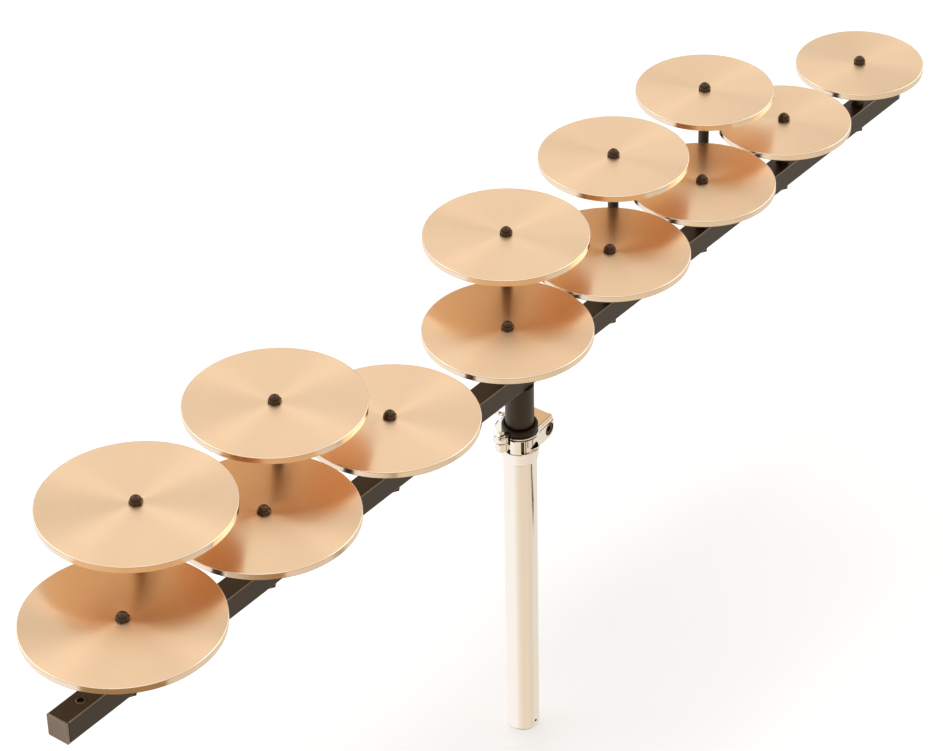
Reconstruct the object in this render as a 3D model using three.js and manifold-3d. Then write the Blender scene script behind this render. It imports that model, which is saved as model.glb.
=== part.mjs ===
import * as THREE from "three";
import { mergeVertices } from "three/addons/utils/BufferGeometryUtils.js";
import Module from "manifold-3d";

const wasm = await Module();
wasm.setup();

// All lengths are in millimetres. +X runs along the bar to the high notes, +Y to the sharps
// and +Z up. The origin is the centre of the stand tube's lower end.

// Radius of each disc, from the lowest note to the highest
const C_LOW_RADIUS = 65.0;
const C_SHARP_RADIUS = 64.6;
const D_RADIUS = 62.8;
const D_SHARP_RADIUS = 61.1;
const E_RADIUS = 60.5;
const F_RADIUS = 59.1;
const F_SHARP_RADIUS = 58.6;
const G_RADIUS = 57.0;
const G_SHARP_RADIUS = 54.4;
const A_RADIUS = 53.3;
const A_SHARP_RADIUS = 51.0;
const B_RADIUS = 49.9;
const C_HIGH_RADIUS = 48.2;

// Clear distance between the rims of neighbouring naturals
const C_LOW_TO_D = 4.5;
const D_TO_E = 3.5;
const E_TO_F = 7.7;
const F_TO_G = 1.7;
const G_TO_A = 2.8;
const A_TO_B = 2.7;
const B_TO_C_HIGH = 5.0;

// Distance of each sharp's rod past the rim of the natural before it
const C_SHARP_PAST_C_LOW = -0.5;
const D_SHARP_PAST_D = 2.5;
const F_SHARP_PAST_F = -1.5;
const G_SHARP_PAST_G = 9.1;
const A_SHARP_PAST_A = 13.7;

// Least clear distance between the rims of neighbouring sharps
const SHARP_CLEARANCE = 2.0;

// Place of each disc along the bar, from the mast's axis
const F_ALONG = -12.2;
const E_ALONG = F_ALONG - F_RADIUS - E_TO_F - E_RADIUS;
const D_ALONG = E_ALONG - E_RADIUS - D_TO_E - D_RADIUS;
const C_LOW_ALONG = D_ALONG - D_RADIUS - C_LOW_TO_D - C_LOW_RADIUS;
const G_ALONG = F_ALONG + F_RADIUS + F_TO_G + G_RADIUS;
const A_ALONG = G_ALONG + G_RADIUS + G_TO_A + A_RADIUS;
const B_ALONG = A_ALONG + A_RADIUS + A_TO_B + B_RADIUS;
const C_HIGH_ALONG = B_ALONG + B_RADIUS + B_TO_C_HIGH + C_HIGH_RADIUS;
const C_SHARP_ALONG = C_LOW_ALONG + C_LOW_RADIUS + C_SHARP_PAST_C_LOW;
const D_SHARP_ALONG = Math.max(
  D_ALONG + D_RADIUS + D_SHARP_PAST_D,
  C_SHARP_ALONG + C_SHARP_RADIUS + SHARP_CLEARANCE + D_SHARP_RADIUS,
);
const F_SHARP_ALONG = F_ALONG + F_RADIUS + F_SHARP_PAST_F;
const G_SHARP_ALONG = Math.max(
  G_ALONG + G_RADIUS + G_SHARP_PAST_G,
  F_SHARP_ALONG + F_SHARP_RADIUS + SHARP_CLEARANCE + G_SHARP_RADIUS,
);
const A_SHARP_ALONG = Math.max(
  A_ALONG + A_RADIUS + A_SHARP_PAST_A,
  G_SHARP_ALONG + G_SHARP_RADIUS + SHARP_CLEARANCE + A_SHARP_RADIUS,
);

// The eight naturals, in line over the bar
const NATURALS = [
  { note: "c_low", radius: C_LOW_RADIUS, along: C_LOW_ALONG },
  { note: "d", radius: D_RADIUS, along: D_ALONG },
  { note: "e", radius: E_RADIUS, along: E_ALONG },
  { note: "f", radius: F_RADIUS, along: F_ALONG, headless: true },
  { note: "g", radius: G_RADIUS, along: G_ALONG },
  { note: "a", radius: A_RADIUS, along: A_ALONG },
  { note: "b", radius: B_RADIUS, along: B_ALONG },
  { note: "c_high", radius: C_HIGH_RADIUS, along: C_HIGH_ALONG },
];

// The five sharps, on tall posts behind the bar
const SHARPS = [
  { note: "c_sharp", radius: C_SHARP_RADIUS, along: C_SHARP_ALONG },
  { note: "d_sharp", radius: D_SHARP_RADIUS, along: D_SHARP_ALONG },
  { note: "f_sharp", radius: F_SHARP_RADIUS, along: F_SHARP_ALONG },
  { note: "g_sharp", radius: G_SHARP_RADIUS, along: G_SHARP_ALONG },
  { note: "a_sharp", radius: A_SHARP_RADIUS, along: A_SHARP_ALONG },
];

// Clear gap between pieces that touch, and the play of a hole on what turns in it
const GAP = 0.3;
const TURNING_PLAY = 0.4;

// Bar: a square tube with a plug screwed into each end
const BAR_TOP = 325.0;
const BAR_SIDE = 16.6;
const BAR_WALL = 1.6;
const BAR_PAST_C_LOW = 63.4;
const BAR_PAST_C_HIGH = 49.3;
const BAR_LOW_END = C_LOW_ALONG - BAR_PAST_C_LOW;
const BAR_HIGH_END = C_HIGH_ALONG + BAR_PAST_C_HIGH;
const BAR_MIDDLE = BAR_TOP - BAR_SIDE / 2;
const BAR_BOTTOM = BAR_TOP - BAR_SIDE;
const BORE_SIDE = BAR_SIDE - 2 * BAR_WALL;
const PLUG_CAP = 2.0;
const PLUG_DEPTH = 32.0;
const PLUG_SCREW_INSET = 21.7;
const PLUG_SCREW_HEAD_RADIUS = 3.4;
const PLUG_SCREW_PROUD = 0.2;
const PLUG_SCREW_RADIUS = 2.0;
const PLUG_SCREW_LENGTH = 8.0;
const PLUG_SOCKET_RADIUS = 1.9;
const PLUG_SOCKET_DEPTH = 1.2;

// Discs: heights of the top faces over the bar, and the one section that all of them share
const NATURAL_RISE = 36.5;
const SHARP_OVER_NATURAL = 29.0;
const NATURAL_TOP = BAR_TOP + NATURAL_RISE;
const SHARP_TOP = NATURAL_TOP + SHARP_OVER_NATURAL;
const SHARP_BEHIND = 45.1;
const DISC_THICKNESS = 4.8;
const DISC_CHAMFER = 0.5;
const BOSS_RADIUS = 11.0;
const BOSS_HEIGHT = 2.6;

// Studs, posts and their screws
const STUD_RADIUS = 2.5;
const STUD_RISE = 3.8;
const STUD_CHAMFER = 0.5;
const DISC_HOLE_RADIUS = STUD_RADIUS + TURNING_PLAY;
const SCREW_RADIUS = 3.0;
const SCREW_REACH = 12.0;
const SCREW_WASHER_RADIUS = 6.2;
const SCREW_WASHER_HEIGHT = 1.4;
const SCREW_CORNER_RADIUS = 5.7;
const SCREW_HEAD_HEIGHT = 4.0;
const SCREW_SOCKET_RADIUS = 1.8;
const SCREW_SOCKET_DEPTH = 3.0;
const POST_RADIUS = 4.75;
const POST_BORE_SPARE = 2.0;
const POST_BORE_RADIUS = SCREW_RADIUS + GAP;
const POST_BORE_DEPTH = SCREW_REACH + POST_BORE_SPARE;
const ROD_RADIUS = 3.95;
const ROD_BEND_RADIUS = 20.0;
const ROD_START = 3.0;

// Cap nuts on the discs
const NUT_CORNER_RADIUS = 4.6;
const NUT_HEX_HEIGHT = 2.6;
const NUT_DOME_RADIUS = 3.7;
const NUT_DOME_BULGE = 3.4;
const NUT_BORE_RADIUS = STUD_RADIUS + GAP;
const NUT_BORE_DEPTH = STUD_RISE + TURNING_PLAY;

// Mast under the bar
const MAST_RADIUS = 10.2;
const MAST_WALL = 1.5;
const MAST_BOTTOM = 34.0;
const MAST_CROWN = 4.0;
const SPIGOT_RADIUS = 5.0;
const SPIGOT_RISE = 3.0;

// Stand tube, in which the mast slides
const TUBE_PLAY = 0.5;
const TUBE_WALL = 1.2;
const TUBE_RADIUS = MAST_RADIUS + TUBE_PLAY + TUBE_WALL;
const TUBE_TOP = 254.5;
const TUBE_DIMPLE_RADIUS = 1.3;
const TUBE_DIMPLE_HEIGHT = 6.0;

// Bushing round the mast
const BUSHING_WALL = 1.8;
const BUSHING_LIP = 0.6;
const BUSHING_CHAMFER = 0.6;
const BUSHING_RADIUS = MAST_RADIUS + GAP + BUSHING_WALL;
const BUSHING_RIM_RADIUS = BUSHING_RADIUS + BUSHING_LIP;
const BUSHING_RISE = 5.0;

// Clamp: a collar on the tube with a thick back and a hinged front strap
const STRAP_THICKNESS = 1.6;
const BACK_THICKNESS = 6.0;
const COLLAR_BORE_RADIUS = BUSHING_RADIUS + GAP;
const COLLAR_RADIUS = COLLAR_BORE_RADIUS + STRAP_THICKNESS;
const BACK_RADIUS = COLLAR_BORE_RADIUS + BACK_THICKNESS;
const COLLAR_SEAT = 2.0;
const COLLAR_HEIGHT = 13.5;
const COLLAR_BOTTOM = TUBE_TOP + COLLAR_SEAT;
const COLLAR_TOP = COLLAR_BOTTOM + COLLAR_HEIGHT;
const BUSHING_TOP = COLLAR_TOP + BUSHING_RISE;
const SKIRT_HEIGHT = 10.7;
const SKIRT_HEM = 0.4;
const SKIRT_FLARE = 1.4;
const SKIRT_LEDGE = 0.5;
const SKIRT_TOP = COLLAR_BOTTOM - GAP;
const SKIRT_BOTTOM = SKIRT_TOP - SKIRT_HEIGHT;
const SKIRT_BOTTOM_RADIUS = TUBE_RADIUS + GAP + SKIRT_HEM;
const SKIRT_TOP_RADIUS = SKIRT_BOTTOM_RADIUS + SKIRT_FLARE;
const SKIRT_SEAT_RADIUS = TUBE_RADIUS - SKIRT_LEDGE;
const LUG_PAST_COLLAR = 12.3;
const LUG_ROOT = 6.0;
const LUG_DROP = 1.0;
const LUG_BACK = 13.0;
const LUG_REACH = COLLAR_RADIUS + LUG_PAST_COLLAR;
const LUG_BOTTOM = COLLAR_BOTTOM - LUG_DROP;
const STRAP_GAP = 0.7;
const STRAP_LENGTH = 23.6;
const STRAP_CORNER = 5.5;
const STRAP_STEP = 9.5;
const STRAP_SLOPE = 2.5;

// The strap's straight ear, its faces as distances in front of the axis
const EAR_BEND = 6.5;
const EAR_INSET = 1.2;
const EAR_THICKNESS = 2.4;
const EAR_FRONT = COLLAR_RADIUS - EAR_INSET;
const EAR_BACK = EAR_FRONT - EAR_THICKNESS;
const EAR_START = Math.sqrt(COLLAR_BORE_RADIUS ** 2 - EAR_BACK ** 2);

// Clamp hinge: the upper knuckle belongs to the collar and the lower one to the strap
const HINGE_OUT = 2.0;
const HINGE_X = -(COLLAR_RADIUS + HINGE_OUT);
const HINGE_Y = 3.5;
const KNUCKLE_RADIUS = 5.2;
const KNUCKLE_RISE = 1.2;
const UPPER_KNUCKLE_HEIGHT = 4.2;
const LOWER_KNUCKLE_HEIGHT = 6.7;
const TAB_HEIGHT = 4.0;
const KNUCKLE_TOP = COLLAR_TOP + KNUCKLE_RISE;
const KNUCKLE_SPLIT = KNUCKLE_TOP - UPPER_KNUCKLE_HEIGHT;
const LOWER_KNUCKLE_TOP = KNUCKLE_SPLIT - GAP;
const KNUCKLE_BOTTOM = LOWER_KNUCKLE_TOP - LOWER_KNUCKLE_HEIGHT;
const PIN_RADIUS = 1.9;
const PIN_HEAD_RADIUS = 3.4;
const PIN_HEAD_RISE = 1.6;

// Clamp bolt and its wing nut
const BOLT_ALONG = 18.0;
const BOLT_UNDER_TOP = 7.1;
const BOLT_HEIGHT = COLLAR_TOP - BOLT_UNDER_TOP;
const BOLT_RADIUS = 3.0;
const BOLT_SWING = 1.2;
const BOLT_HOLE_RADIUS = BOLT_RADIUS + TURNING_PLAY;
const BOLT_SLOT_RADIUS = BOLT_RADIUS + BOLT_SWING;
const BOLT_HEAD_RADIUS = 4.5;
const BOLT_RECESS_RADIUS = BOLT_HEAD_RADIUS + TURNING_PLAY;
const BOLT_RECESS_DEPTH = 1.4;
const BOLT_HEAD_HEIGHT = 1.0;
const BOLT_SOCKET_RADIUS = 2.3;
const BOLT_SOCKET_DEPTH = 2.4;
const BOLT_PAST_LUG = 10.0;
const BOLT_TAIL = LUG_BACK + BOLT_PAST_LUG;
const WING_PLAY = 1.3;
const WING_HUB_RADIUS = 5.0;
const WING_HUB_NECK_RADIUS = 4.0;
const WING_HUB_LENGTH = 7.0;
const WING_BORE_RADIUS = BOLT_RADIUS + GAP;
const WING_SPAN = 13.5;
const WING_ROOT_LOW = 1.6;
const WING_TIP_LOW = 7.0;
const WING_ROOT_HIGH = 6.4;
const WING_TIP_HIGH = 11.5;
const WING_THICKNESS = 2.8;

// Angles in degrees, measured from +X towards +Y
const STRAP_ANGLE = -86;
const STRAP_TURN = STRAP_ANGLE + 90;
const STRAP_FROM = 190;
const TAB_FROM = 180;
const TAB_LAP = 2;
const COLLAR_BACK_TO = 176;
const THICK_BACK_FROM = 20;
const THICK_BACK_TO = 160;
const WING_TURN = 30;

// Facets round each kind of piece
const DISC_SIDES = 32;
const TUBE_SIDES = 24;
const POST_SIDES = 12;
const ROD_SIDES = 12;
const ROD_STEPS = 12;
const SMALL_SIDES = 12;
const HEX_SIDES = 6;
const ARC_SEGMENTS = 6;

const bronze = new THREE.MeshStandardMaterial({ color: "#e3c08e", roughness: 0.25, metalness: 1 });
const black = new THREE.MeshStandardMaterial({ color: "#3c322b", roughness: 0.45, metalness: 0.3 });
const nutBlack = new THREE.MeshStandardMaterial({ color: "#3a3029", roughness: 0.3, metalness: 0.6 });
const chrome = new THREE.MeshStandardMaterial({ color: "#e8e4dc", roughness: 0.08, metalness: 1 });
const nylon = new THREE.MeshStandardMaterial({ color: "#1d1a18", roughness: 0.6, metalness: 0 });

// A closed geometry as a solid for joining and cutting
function solid(geometry) {
  const bare = geometry.clone();
  bare.deleteAttribute("normal");
  bare.deleteAttribute("uv");
  const merged = mergeVertices(bare);
  const corners = [];
  for (let i = 0; i < merged.index.count; i += 3) {
    const face = [merged.index.getX(i), merged.index.getX(i + 1), merged.index.getX(i + 2)];
    if (new Set(face).size === 3) corners.push(...face);
  }
  return new wasm.Manifold(new wasm.Mesh({
    numProp: 3,
    vertProperties: new Float32Array(merged.attributes.position.array),
    triVerts: new Uint32Array(corners),
  }));
}

// A solid back as a geometry
function surface(body) {
  const mesh = body.getMesh();
  const geometry = new THREE.BufferGeometry();
  geometry.setAttribute("position", new THREE.BufferAttribute(mesh.vertProperties, 3));
  geometry.setIndex(new THREE.BufferAttribute(mesh.triVerts, 1));
  geometry.computeVertexNormals();
  return geometry;
}

// A turned piece about +Z from [radius, height] pairs that run up the outside
function turned(profile, sides) {
  const points = profile.map(([radius, height]) => new THREE.Vector2(radius, height));
  return new THREE.LatheGeometry(points, sides).rotateX(Math.PI / 2);
}

// A plain round solid about +Z between two heights
function round(radius, low, high, sides) {
  return turned([[0, low], [radius, low], [radius, high], [0, high]], sides);
}

// A straight ring about +Z, closed on itself
function ring(inner, outer, low, high, sides) {
  return turned([[inner, low], [outer, low], [outer, high], [inner, high], [inner, low]], sides);
}

// A flat outline raised between two heights
function raised(shape, low, high) {
  const options = { depth: high - low, bevelEnabled: false, curveSegments: ARC_SEGMENTS };
  return new THREE.ExtrudeGeometry(shape, options).translate(0, 0, low);
}

// The part of a collar wall between two angles, between two heights
function collarSector(radius, fromDegrees, toDegrees, low, high) {
  const from = THREE.MathUtils.degToRad(fromDegrees);
  const to = THREE.MathUtils.degToRad(toDegrees);
  const shape = new THREE.Shape();
  shape.absarc(0, 0, radius, from, to, false);
  shape.absarc(0, 0, COLLAR_BORE_RADIUS, to, from, true);
  return raised(shape, low, high);
}

function outline(points) {
  return new THREE.Shape(points.map(([x, y]) => new THREE.Vector2(x, y)));
}

// A disc with a chamfered rim and a boss underneath, its top face at zero
function crotale(radius) {
  const under = -DISC_THICKNESS;
  const bossUnder = under - BOSS_HEIGHT;
  return turned([
    [DISC_HOLE_RADIUS, bossUnder],
    [BOSS_RADIUS, bossUnder],
    [BOSS_RADIUS, under],
    [radius - DISC_CHAMFER, under],
    [radius, under + DISC_CHAMFER],
    [radius, -DISC_CHAMFER],
    [radius - DISC_CHAMFER, 0],
    [DISC_HOLE_RADIUS, 0],
    [DISC_HOLE_RADIUS, bossUnder],
  ], DISC_SIDES);
}

// A low domed cap nut that stands on a disc's top face
function capNut() {
  const hexTop = GAP + NUT_HEX_HEIGHT;
  const hex = solid(round(NUT_CORNER_RADIUS, GAP, hexTop, HEX_SIDES));
  const dome = [[0, GAP], [NUT_DOME_RADIUS, GAP], [NUT_DOME_RADIUS, hexTop]];
  for (const turn of [30, 55, 75]) {
    const angle = THREE.MathUtils.degToRad(turn);
    dome.push([NUT_DOME_RADIUS * Math.cos(angle), hexTop + NUT_DOME_BULGE * Math.sin(angle)]);
  }
  dome.push([0, hexTop + NUT_DOME_BULGE]);
  const bore = round(NUT_BORE_RADIUS, -NUT_HEX_HEIGHT, NUT_BORE_DEPTH, SMALL_SIDES);
  return surface(hex.add(solid(turned(dome, SMALL_SIDES))).subtract(solid(bore)));
}

// The stud end that a disc and its nut sit on, from a shoulder up
function studProfile(shoulder, discTop) {
  const tip = discTop + STUD_RISE;
  return [
    [STUD_RADIUS, shoulder],
    [STUD_RADIUS, tip - STUD_CHAMFER],
    [STUD_RADIUS - STUD_CHAMFER, tip],
    [0, tip],
  ];
}

function shoulderUnder(discTop) {
  return discTop - DISC_THICKNESS - BOSS_HEIGHT - GAP;
}

// A short round post that stands on the bar
function naturalPost() {
  const foot = BAR_TOP + GAP;
  const shoulder = shoulderUnder(NATURAL_TOP);
  return turned([
    [0, foot + POST_BORE_DEPTH],
    [POST_BORE_RADIUS, foot + POST_BORE_DEPTH],
    [POST_BORE_RADIUS, foot],
    [POST_RADIUS, foot],
    [POST_RADIUS, shoulder],
    ...studProfile(shoulder, NATURAL_TOP),
  ], POST_SIDES);
}

// The screw that holds a short post from under the bar
function postScrew(headless) {
  const tip = BAR_TOP + SCREW_REACH;
  if (headless) {
    const shank = solid(round(SCREW_RADIUS, BAR_BOTTOM, tip, POST_SIDES));
    const depth = BAR_BOTTOM + SCREW_SOCKET_DEPTH;
    const socket = round(SCREW_SOCKET_RADIUS, BAR_BOTTOM - SCREW_SOCKET_DEPTH, depth, HEX_SIDES);
    return surface(shank.subtract(solid(socket)));
  }
  const washerTop = BAR_BOTTOM - GAP;
  const washerFoot = washerTop - SCREW_WASHER_HEIGHT;
  const shank = solid(round(SCREW_RADIUS, washerFoot, tip, POST_SIDES));
  const washer = solid(round(SCREW_WASHER_RADIUS, washerFoot, washerTop, POST_SIDES));
  const headFoot = washerFoot - SCREW_HEAD_HEIGHT;
  const headTop = washerTop - SCREW_WASHER_HEIGHT / 2;
  const head = solid(round(SCREW_CORNER_RADIUS, headFoot, headTop, HEX_SIDES));
  return surface(shank.add(washer).add(head));
}

// The centre line of a sharp's rod: back from the bar, then up
class RodPath extends THREE.Curve {
  getPoint(share, target = new THREE.Vector3()) {
    const level = SHARP_BEHIND - ROD_BEND_RADIUS - ROD_START;
    const bend = ROD_BEND_RADIUS * Math.PI / 2;
    const bendTop = BAR_MIDDLE + ROD_BEND_RADIUS;
    const rise = shoulderUnder(SHARP_TOP) - bendTop;
    const run = share * (level + bend + rise);
    if (run <= level) return target.set(0, ROD_START + run, BAR_MIDDLE);
    if (run >= level + bend) return target.set(0, SHARP_BEHIND, bendTop + run - level - bend);
    const angle = (run - level) / ROD_BEND_RADIUS;
    const back = SHARP_BEHIND - ROD_BEND_RADIUS + ROD_BEND_RADIUS * Math.sin(angle);
    return target.set(0, back, bendTop - ROD_BEND_RADIUS * Math.cos(angle));
  }
}

// A bent rod that carries a sharp behind and above the bar
function sharpRod() {
  const section = new THREE.Shape();
  section.absarc(0, 0, ROD_RADIUS, 0, 2 * Math.PI, false);
  const options = {
    steps: ROD_STEPS,
    curveSegments: ROD_SIDES / 2,
    bevelEnabled: false,
    extrudePath: new RodPath(),
  };
  const rod = solid(new THREE.ExtrudeGeometry(section, options));
  const shoulder = shoulderUnder(SHARP_TOP);
  const foot = shoulder - STUD_RISE;
  const stud = turned([[0, foot], [STUD_RADIUS, foot], ...studProfile(shoulder, SHARP_TOP)], POST_SIDES);
  return surface(rod.add(solid(stud.translate(0, SHARP_BEHIND, 0))));
}

// A rectangular block between two corners
function block(low, high) {
  const size = high.map((value, axis) => value - low[axis]);
  const middle = high.map((value, axis) => (value + low[axis]) / 2);
  return new THREE.BoxGeometry(...size).translate(...middle);
}

// The square tube with its holes for screws, rods, mast and plug screws
function bar() {
  const half = BAR_SIDE / 2;
  const inner = half - BAR_WALL;
  const low = BAR_LOW_END + PLUG_CAP + GAP;
  const high = BAR_HIGH_END - PLUG_CAP - GAP;
  let body = solid(block([low, -half, BAR_BOTTOM], [high, half, BAR_TOP]));
  const hollowLow = [low - BAR_SIDE, -inner, BAR_BOTTOM + BAR_WALL];
  const hollowHigh = [high + BAR_SIDE, inner, BAR_TOP - BAR_WALL];
  body = body.subtract(solid(block(hollowLow, hollowHigh)));
  for (const { along } of NATURALS) {
    const hole = round(POST_BORE_RADIUS, BAR_BOTTOM - BAR_WALL, BAR_TOP + BAR_WALL, POST_SIDES);
    body = body.subtract(solid(hole.translate(along, 0, 0)));
  }
  for (const { along } of SHARPS) {
    const hole = round(ROD_RADIUS + GAP, 0, BAR_SIDE, POST_SIDES).rotateX(-Math.PI / 2);
    body = body.subtract(solid(hole.translate(along, 0, BAR_MIDDLE)));
  }
  for (const along of [BAR_LOW_END + PLUG_SCREW_INSET, BAR_HIGH_END - PLUG_SCREW_INSET]) {
    const hole = round(PLUG_SCREW_HEAD_RADIUS + GAP, BAR_MIDDLE, BAR_TOP + BAR_WALL, POST_SIDES);
    body = body.subtract(solid(hole.translate(along, 0, 0)));
  }
  const spigotHole = round(SPIGOT_RADIUS + GAP, BAR_BOTTOM - BAR_WALL, BAR_MIDDLE, TUBE_SIDES);
  return surface(body.subtract(solid(spigotHole)));
}

// A plug for the bar's low end, its outer face at zero
function endPlug() {
  const half = BAR_SIDE / 2;
  const inner = BORE_SIDE / 2 - GAP;
  const cap = solid(block([0, -half, BAR_BOTTOM], [PLUG_CAP, half, BAR_TOP]));
  const tail = block([0, -inner, BAR_MIDDLE - inner], [PLUG_DEPTH, inner, BAR_MIDDLE + inner]);
  const hole = round(PLUG_SCREW_RADIUS + GAP, BAR_MIDDLE - inner / 2, BAR_TOP, SMALL_SIDES);
  return surface(cap.add(solid(tail)).subtract(solid(hole.translate(PLUG_SCREW_INSET, 0, 0))));
}

// The socket screw that holds a plug, nearly flush with the bar's top
function plugScrew() {
  const seat = BAR_TOP - BAR_WALL;
  const top = BAR_TOP + PLUG_SCREW_PROUD;
  const head = solid(round(PLUG_SCREW_HEAD_RADIUS, seat, top, POST_SIDES));
  const tip = seat - PLUG_SCREW_LENGTH;
  const shank = solid(round(PLUG_SCREW_RADIUS, tip, top - PLUG_SOCKET_DEPTH, SMALL_SIDES));
  const socket = round(PLUG_SOCKET_RADIUS, top - PLUG_SOCKET_DEPTH, top + PLUG_SOCKET_DEPTH, HEX_SIDES);
  return surface(head.add(shank).subtract(solid(socket)));
}

// The black mast: a tube closed by a spigot that enters the bar
function mast() {
  const top = BAR_BOTTOM - GAP;
  const bore = MAST_RADIUS - MAST_WALL;
  return turned([
    [0, top - MAST_CROWN],
    [bore, top - MAST_CROWN],
    [bore, MAST_BOTTOM],
    [MAST_RADIUS, MAST_BOTTOM],
    [MAST_RADIUS, top],
    [SPIGOT_RADIUS, top],
    [SPIGOT_RADIUS, top + SPIGOT_RISE],
    [0, top + SPIGOT_RISE],
  ], TUBE_SIDES);
}

// The chromed tube, with a small hole in front near its lower end
function standTube() {
  const tube = solid(ring(TUBE_RADIUS - TUBE_WALL, TUBE_RADIUS, 0, TUBE_TOP, TUBE_SIDES));
  const dimple = round(TUBE_DIMPLE_RADIUS, 0, TUBE_RADIUS + TUBE_WALL, SMALL_SIDES);
  const hole = dimple.rotateX(Math.PI / 2).translate(0, 0, TUBE_DIMPLE_HEIGHT);
  return surface(tube.subtract(solid(hole)));
}

// The bushing that stands on the tube inside the collar
function bushing() {
  const bore = MAST_RADIUS + GAP;
  const rimUnder = COLLAR_TOP + GAP;
  return turned([
    [bore, SKIRT_TOP + GAP],
    [BUSHING_RADIUS, SKIRT_TOP + GAP],
    [BUSHING_RADIUS, rimUnder],
    [BUSHING_RIM_RADIUS, rimUnder],
    [BUSHING_RIM_RADIUS, BUSHING_TOP - BUSHING_CHAMFER],
    [BUSHING_RIM_RADIUS - BUSHING_CHAMFER, BUSHING_TOP],
    [bore, BUSHING_TOP],
    [bore, SKIRT_TOP + GAP],
  ], TUBE_SIDES);
}

// The y of the line that lies a distance in front of the axis, along the strap
function strapLine(distance, x) {
  const angle = THREE.MathUtils.degToRad(STRAP_ANGLE);
  return (distance - x * Math.cos(angle)) / Math.sin(angle);
}

// Turns a geometry built along +X in front of the axis to lie along the strap
function alongStrap(geometry) {
  return geometry.rotateZ(THREE.MathUtils.degToRad(STRAP_TURN));
}

// A round solid on the clamp bolt's axis, from one depth behind the axis to another
function onBolt(radius, back, front, sides) {
  const piece = round(radius, -back, front, sides).rotateX(Math.PI / 2);
  return alongStrap(piece.translate(BOLT_ALONG, 0, BOLT_HEIGHT));
}

function knuckle(radius, low, high) {
  return round(radius, low, high, TUBE_SIDES).translate(HINGE_X, HINGE_Y, 0);
}

// The fixed half of the clamp: skirt round the tube, back of the collar, lug and upper knuckle
function clampBody() {
  const skirt = turned([
    [TUBE_RADIUS + GAP, SKIRT_BOTTOM],
    [SKIRT_BOTTOM_RADIUS, SKIRT_BOTTOM],
    [SKIRT_TOP_RADIUS, SKIRT_TOP - BUSHING_CHAMFER],
    [SKIRT_TOP_RADIUS, SKIRT_TOP],
    [SKIRT_SEAT_RADIUS, SKIRT_TOP],
    [SKIRT_SEAT_RADIUS, TUBE_TOP + GAP],
    [TUBE_RADIUS + GAP, TUBE_TOP + GAP],
    [TUBE_RADIUS + GAP, SKIRT_BOTTOM],
  ], TUBE_SIDES);
  const back = collarSector(COLLAR_RADIUS, 0, COLLAR_BACK_TO, TUBE_TOP, COLLAR_TOP);
  const thick = collarSector(BACK_RADIUS, THICK_BACK_FROM, THICK_BACK_TO, COLLAR_BOTTOM, COLLAR_TOP);
  const front = EAR_BACK - STRAP_GAP;
  const lug = raised(outline([
    [LUG_ROOT, strapLine(front, LUG_ROOT)],
    [LUG_REACH, strapLine(front, LUG_REACH)],
    [LUG_REACH, strapLine(-LUG_BACK, LUG_REACH)],
    [LUG_ROOT, strapLine(-LUG_BACK, LUG_ROOT)],
  ]), LUG_BOTTOM, COLLAR_TOP);
  const slot = onBolt(BOLT_SLOT_RADIUS, LUG_REACH, LUG_REACH, POST_SIDES);
  const pinHole = knuckle(PIN_RADIUS + GAP, KNUCKLE_SPLIT - GAP, BUSHING_TOP);
  const lowerRoom = knuckle(KNUCKLE_RADIUS + GAP, KNUCKLE_BOTTOM - GAP, KNUCKLE_SPLIT);
  const bore = round(COLLAR_BORE_RADIUS, SKIRT_TOP, BUSHING_TOP, TUBE_SIDES);
  const rimRoom = round(BUSHING_RIM_RADIUS + GAP, COLLAR_TOP, BUSHING_TOP, TUBE_SIDES);
  const seatBore = round(SKIRT_SEAT_RADIUS, SKIRT_BOTTOM, BUSHING_TOP, TUBE_SIDES);
  const lowBore = round(TUBE_RADIUS + GAP, SKIRT_BOTTOM, TUBE_TOP + GAP, TUBE_SIDES);
  return surface(solid(skirt)
    .add(solid(back))
    .add(solid(thick))
    .add(solid(lug))
    .subtract(solid(lowerRoom))
    .add(solid(knuckle(KNUCKLE_RADIUS, KNUCKLE_SPLIT, KNUCKLE_TOP)))
    .subtract(solid(slot))
    .subtract(solid(pinHole))
    .subtract(solid(bore))
    .subtract(solid(rimRoom))
    .subtract(solid(seatBore))
    .subtract(solid(lowBore)));
}

// The strap from above, in its own frame: an arc round the bushing that runs out into an ear
function strapPlan() {
  const from = THREE.MathUtils.degToRad(STRAP_FROM - STRAP_TURN);
  const shape = new THREE.Shape();
  shape.absarc(0, 0, COLLAR_RADIUS, from, 3 * Math.PI / 2, false);
  shape.lineTo(EAR_BEND, -EAR_FRONT);
  shape.lineTo(STRAP_LENGTH, -EAR_FRONT);
  shape.lineTo(STRAP_LENGTH, -EAR_BACK);
  shape.lineTo(EAR_START, -EAR_BACK);
  shape.absarc(0, 0, COLLAR_BORE_RADIUS, Math.atan2(-EAR_BACK, EAR_START), from, true);
  return shape;
}

// The strap from the front: level on the collar, lower and rounded at the ear
function strapFront() {
  const shape = new THREE.Shape();
  shape.moveTo(-BACK_RADIUS, COLLAR_BOTTOM);
  shape.lineTo(STRAP_STEP, COLLAR_BOTTOM);
  shape.lineTo(STRAP_STEP + STRAP_SLOPE, LUG_BOTTOM);
  const arcX = STRAP_LENGTH - STRAP_CORNER;
  shape.absarc(arcX, LUG_BOTTOM + STRAP_CORNER, STRAP_CORNER, -Math.PI / 2, 0, false);
  shape.lineTo(STRAP_LENGTH, COLLAR_TOP);
  shape.lineTo(-BACK_RADIUS, COLLAR_TOP);
  return raised(shape, 0, BACK_RADIUS).rotateX(Math.PI / 2);
}

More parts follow.
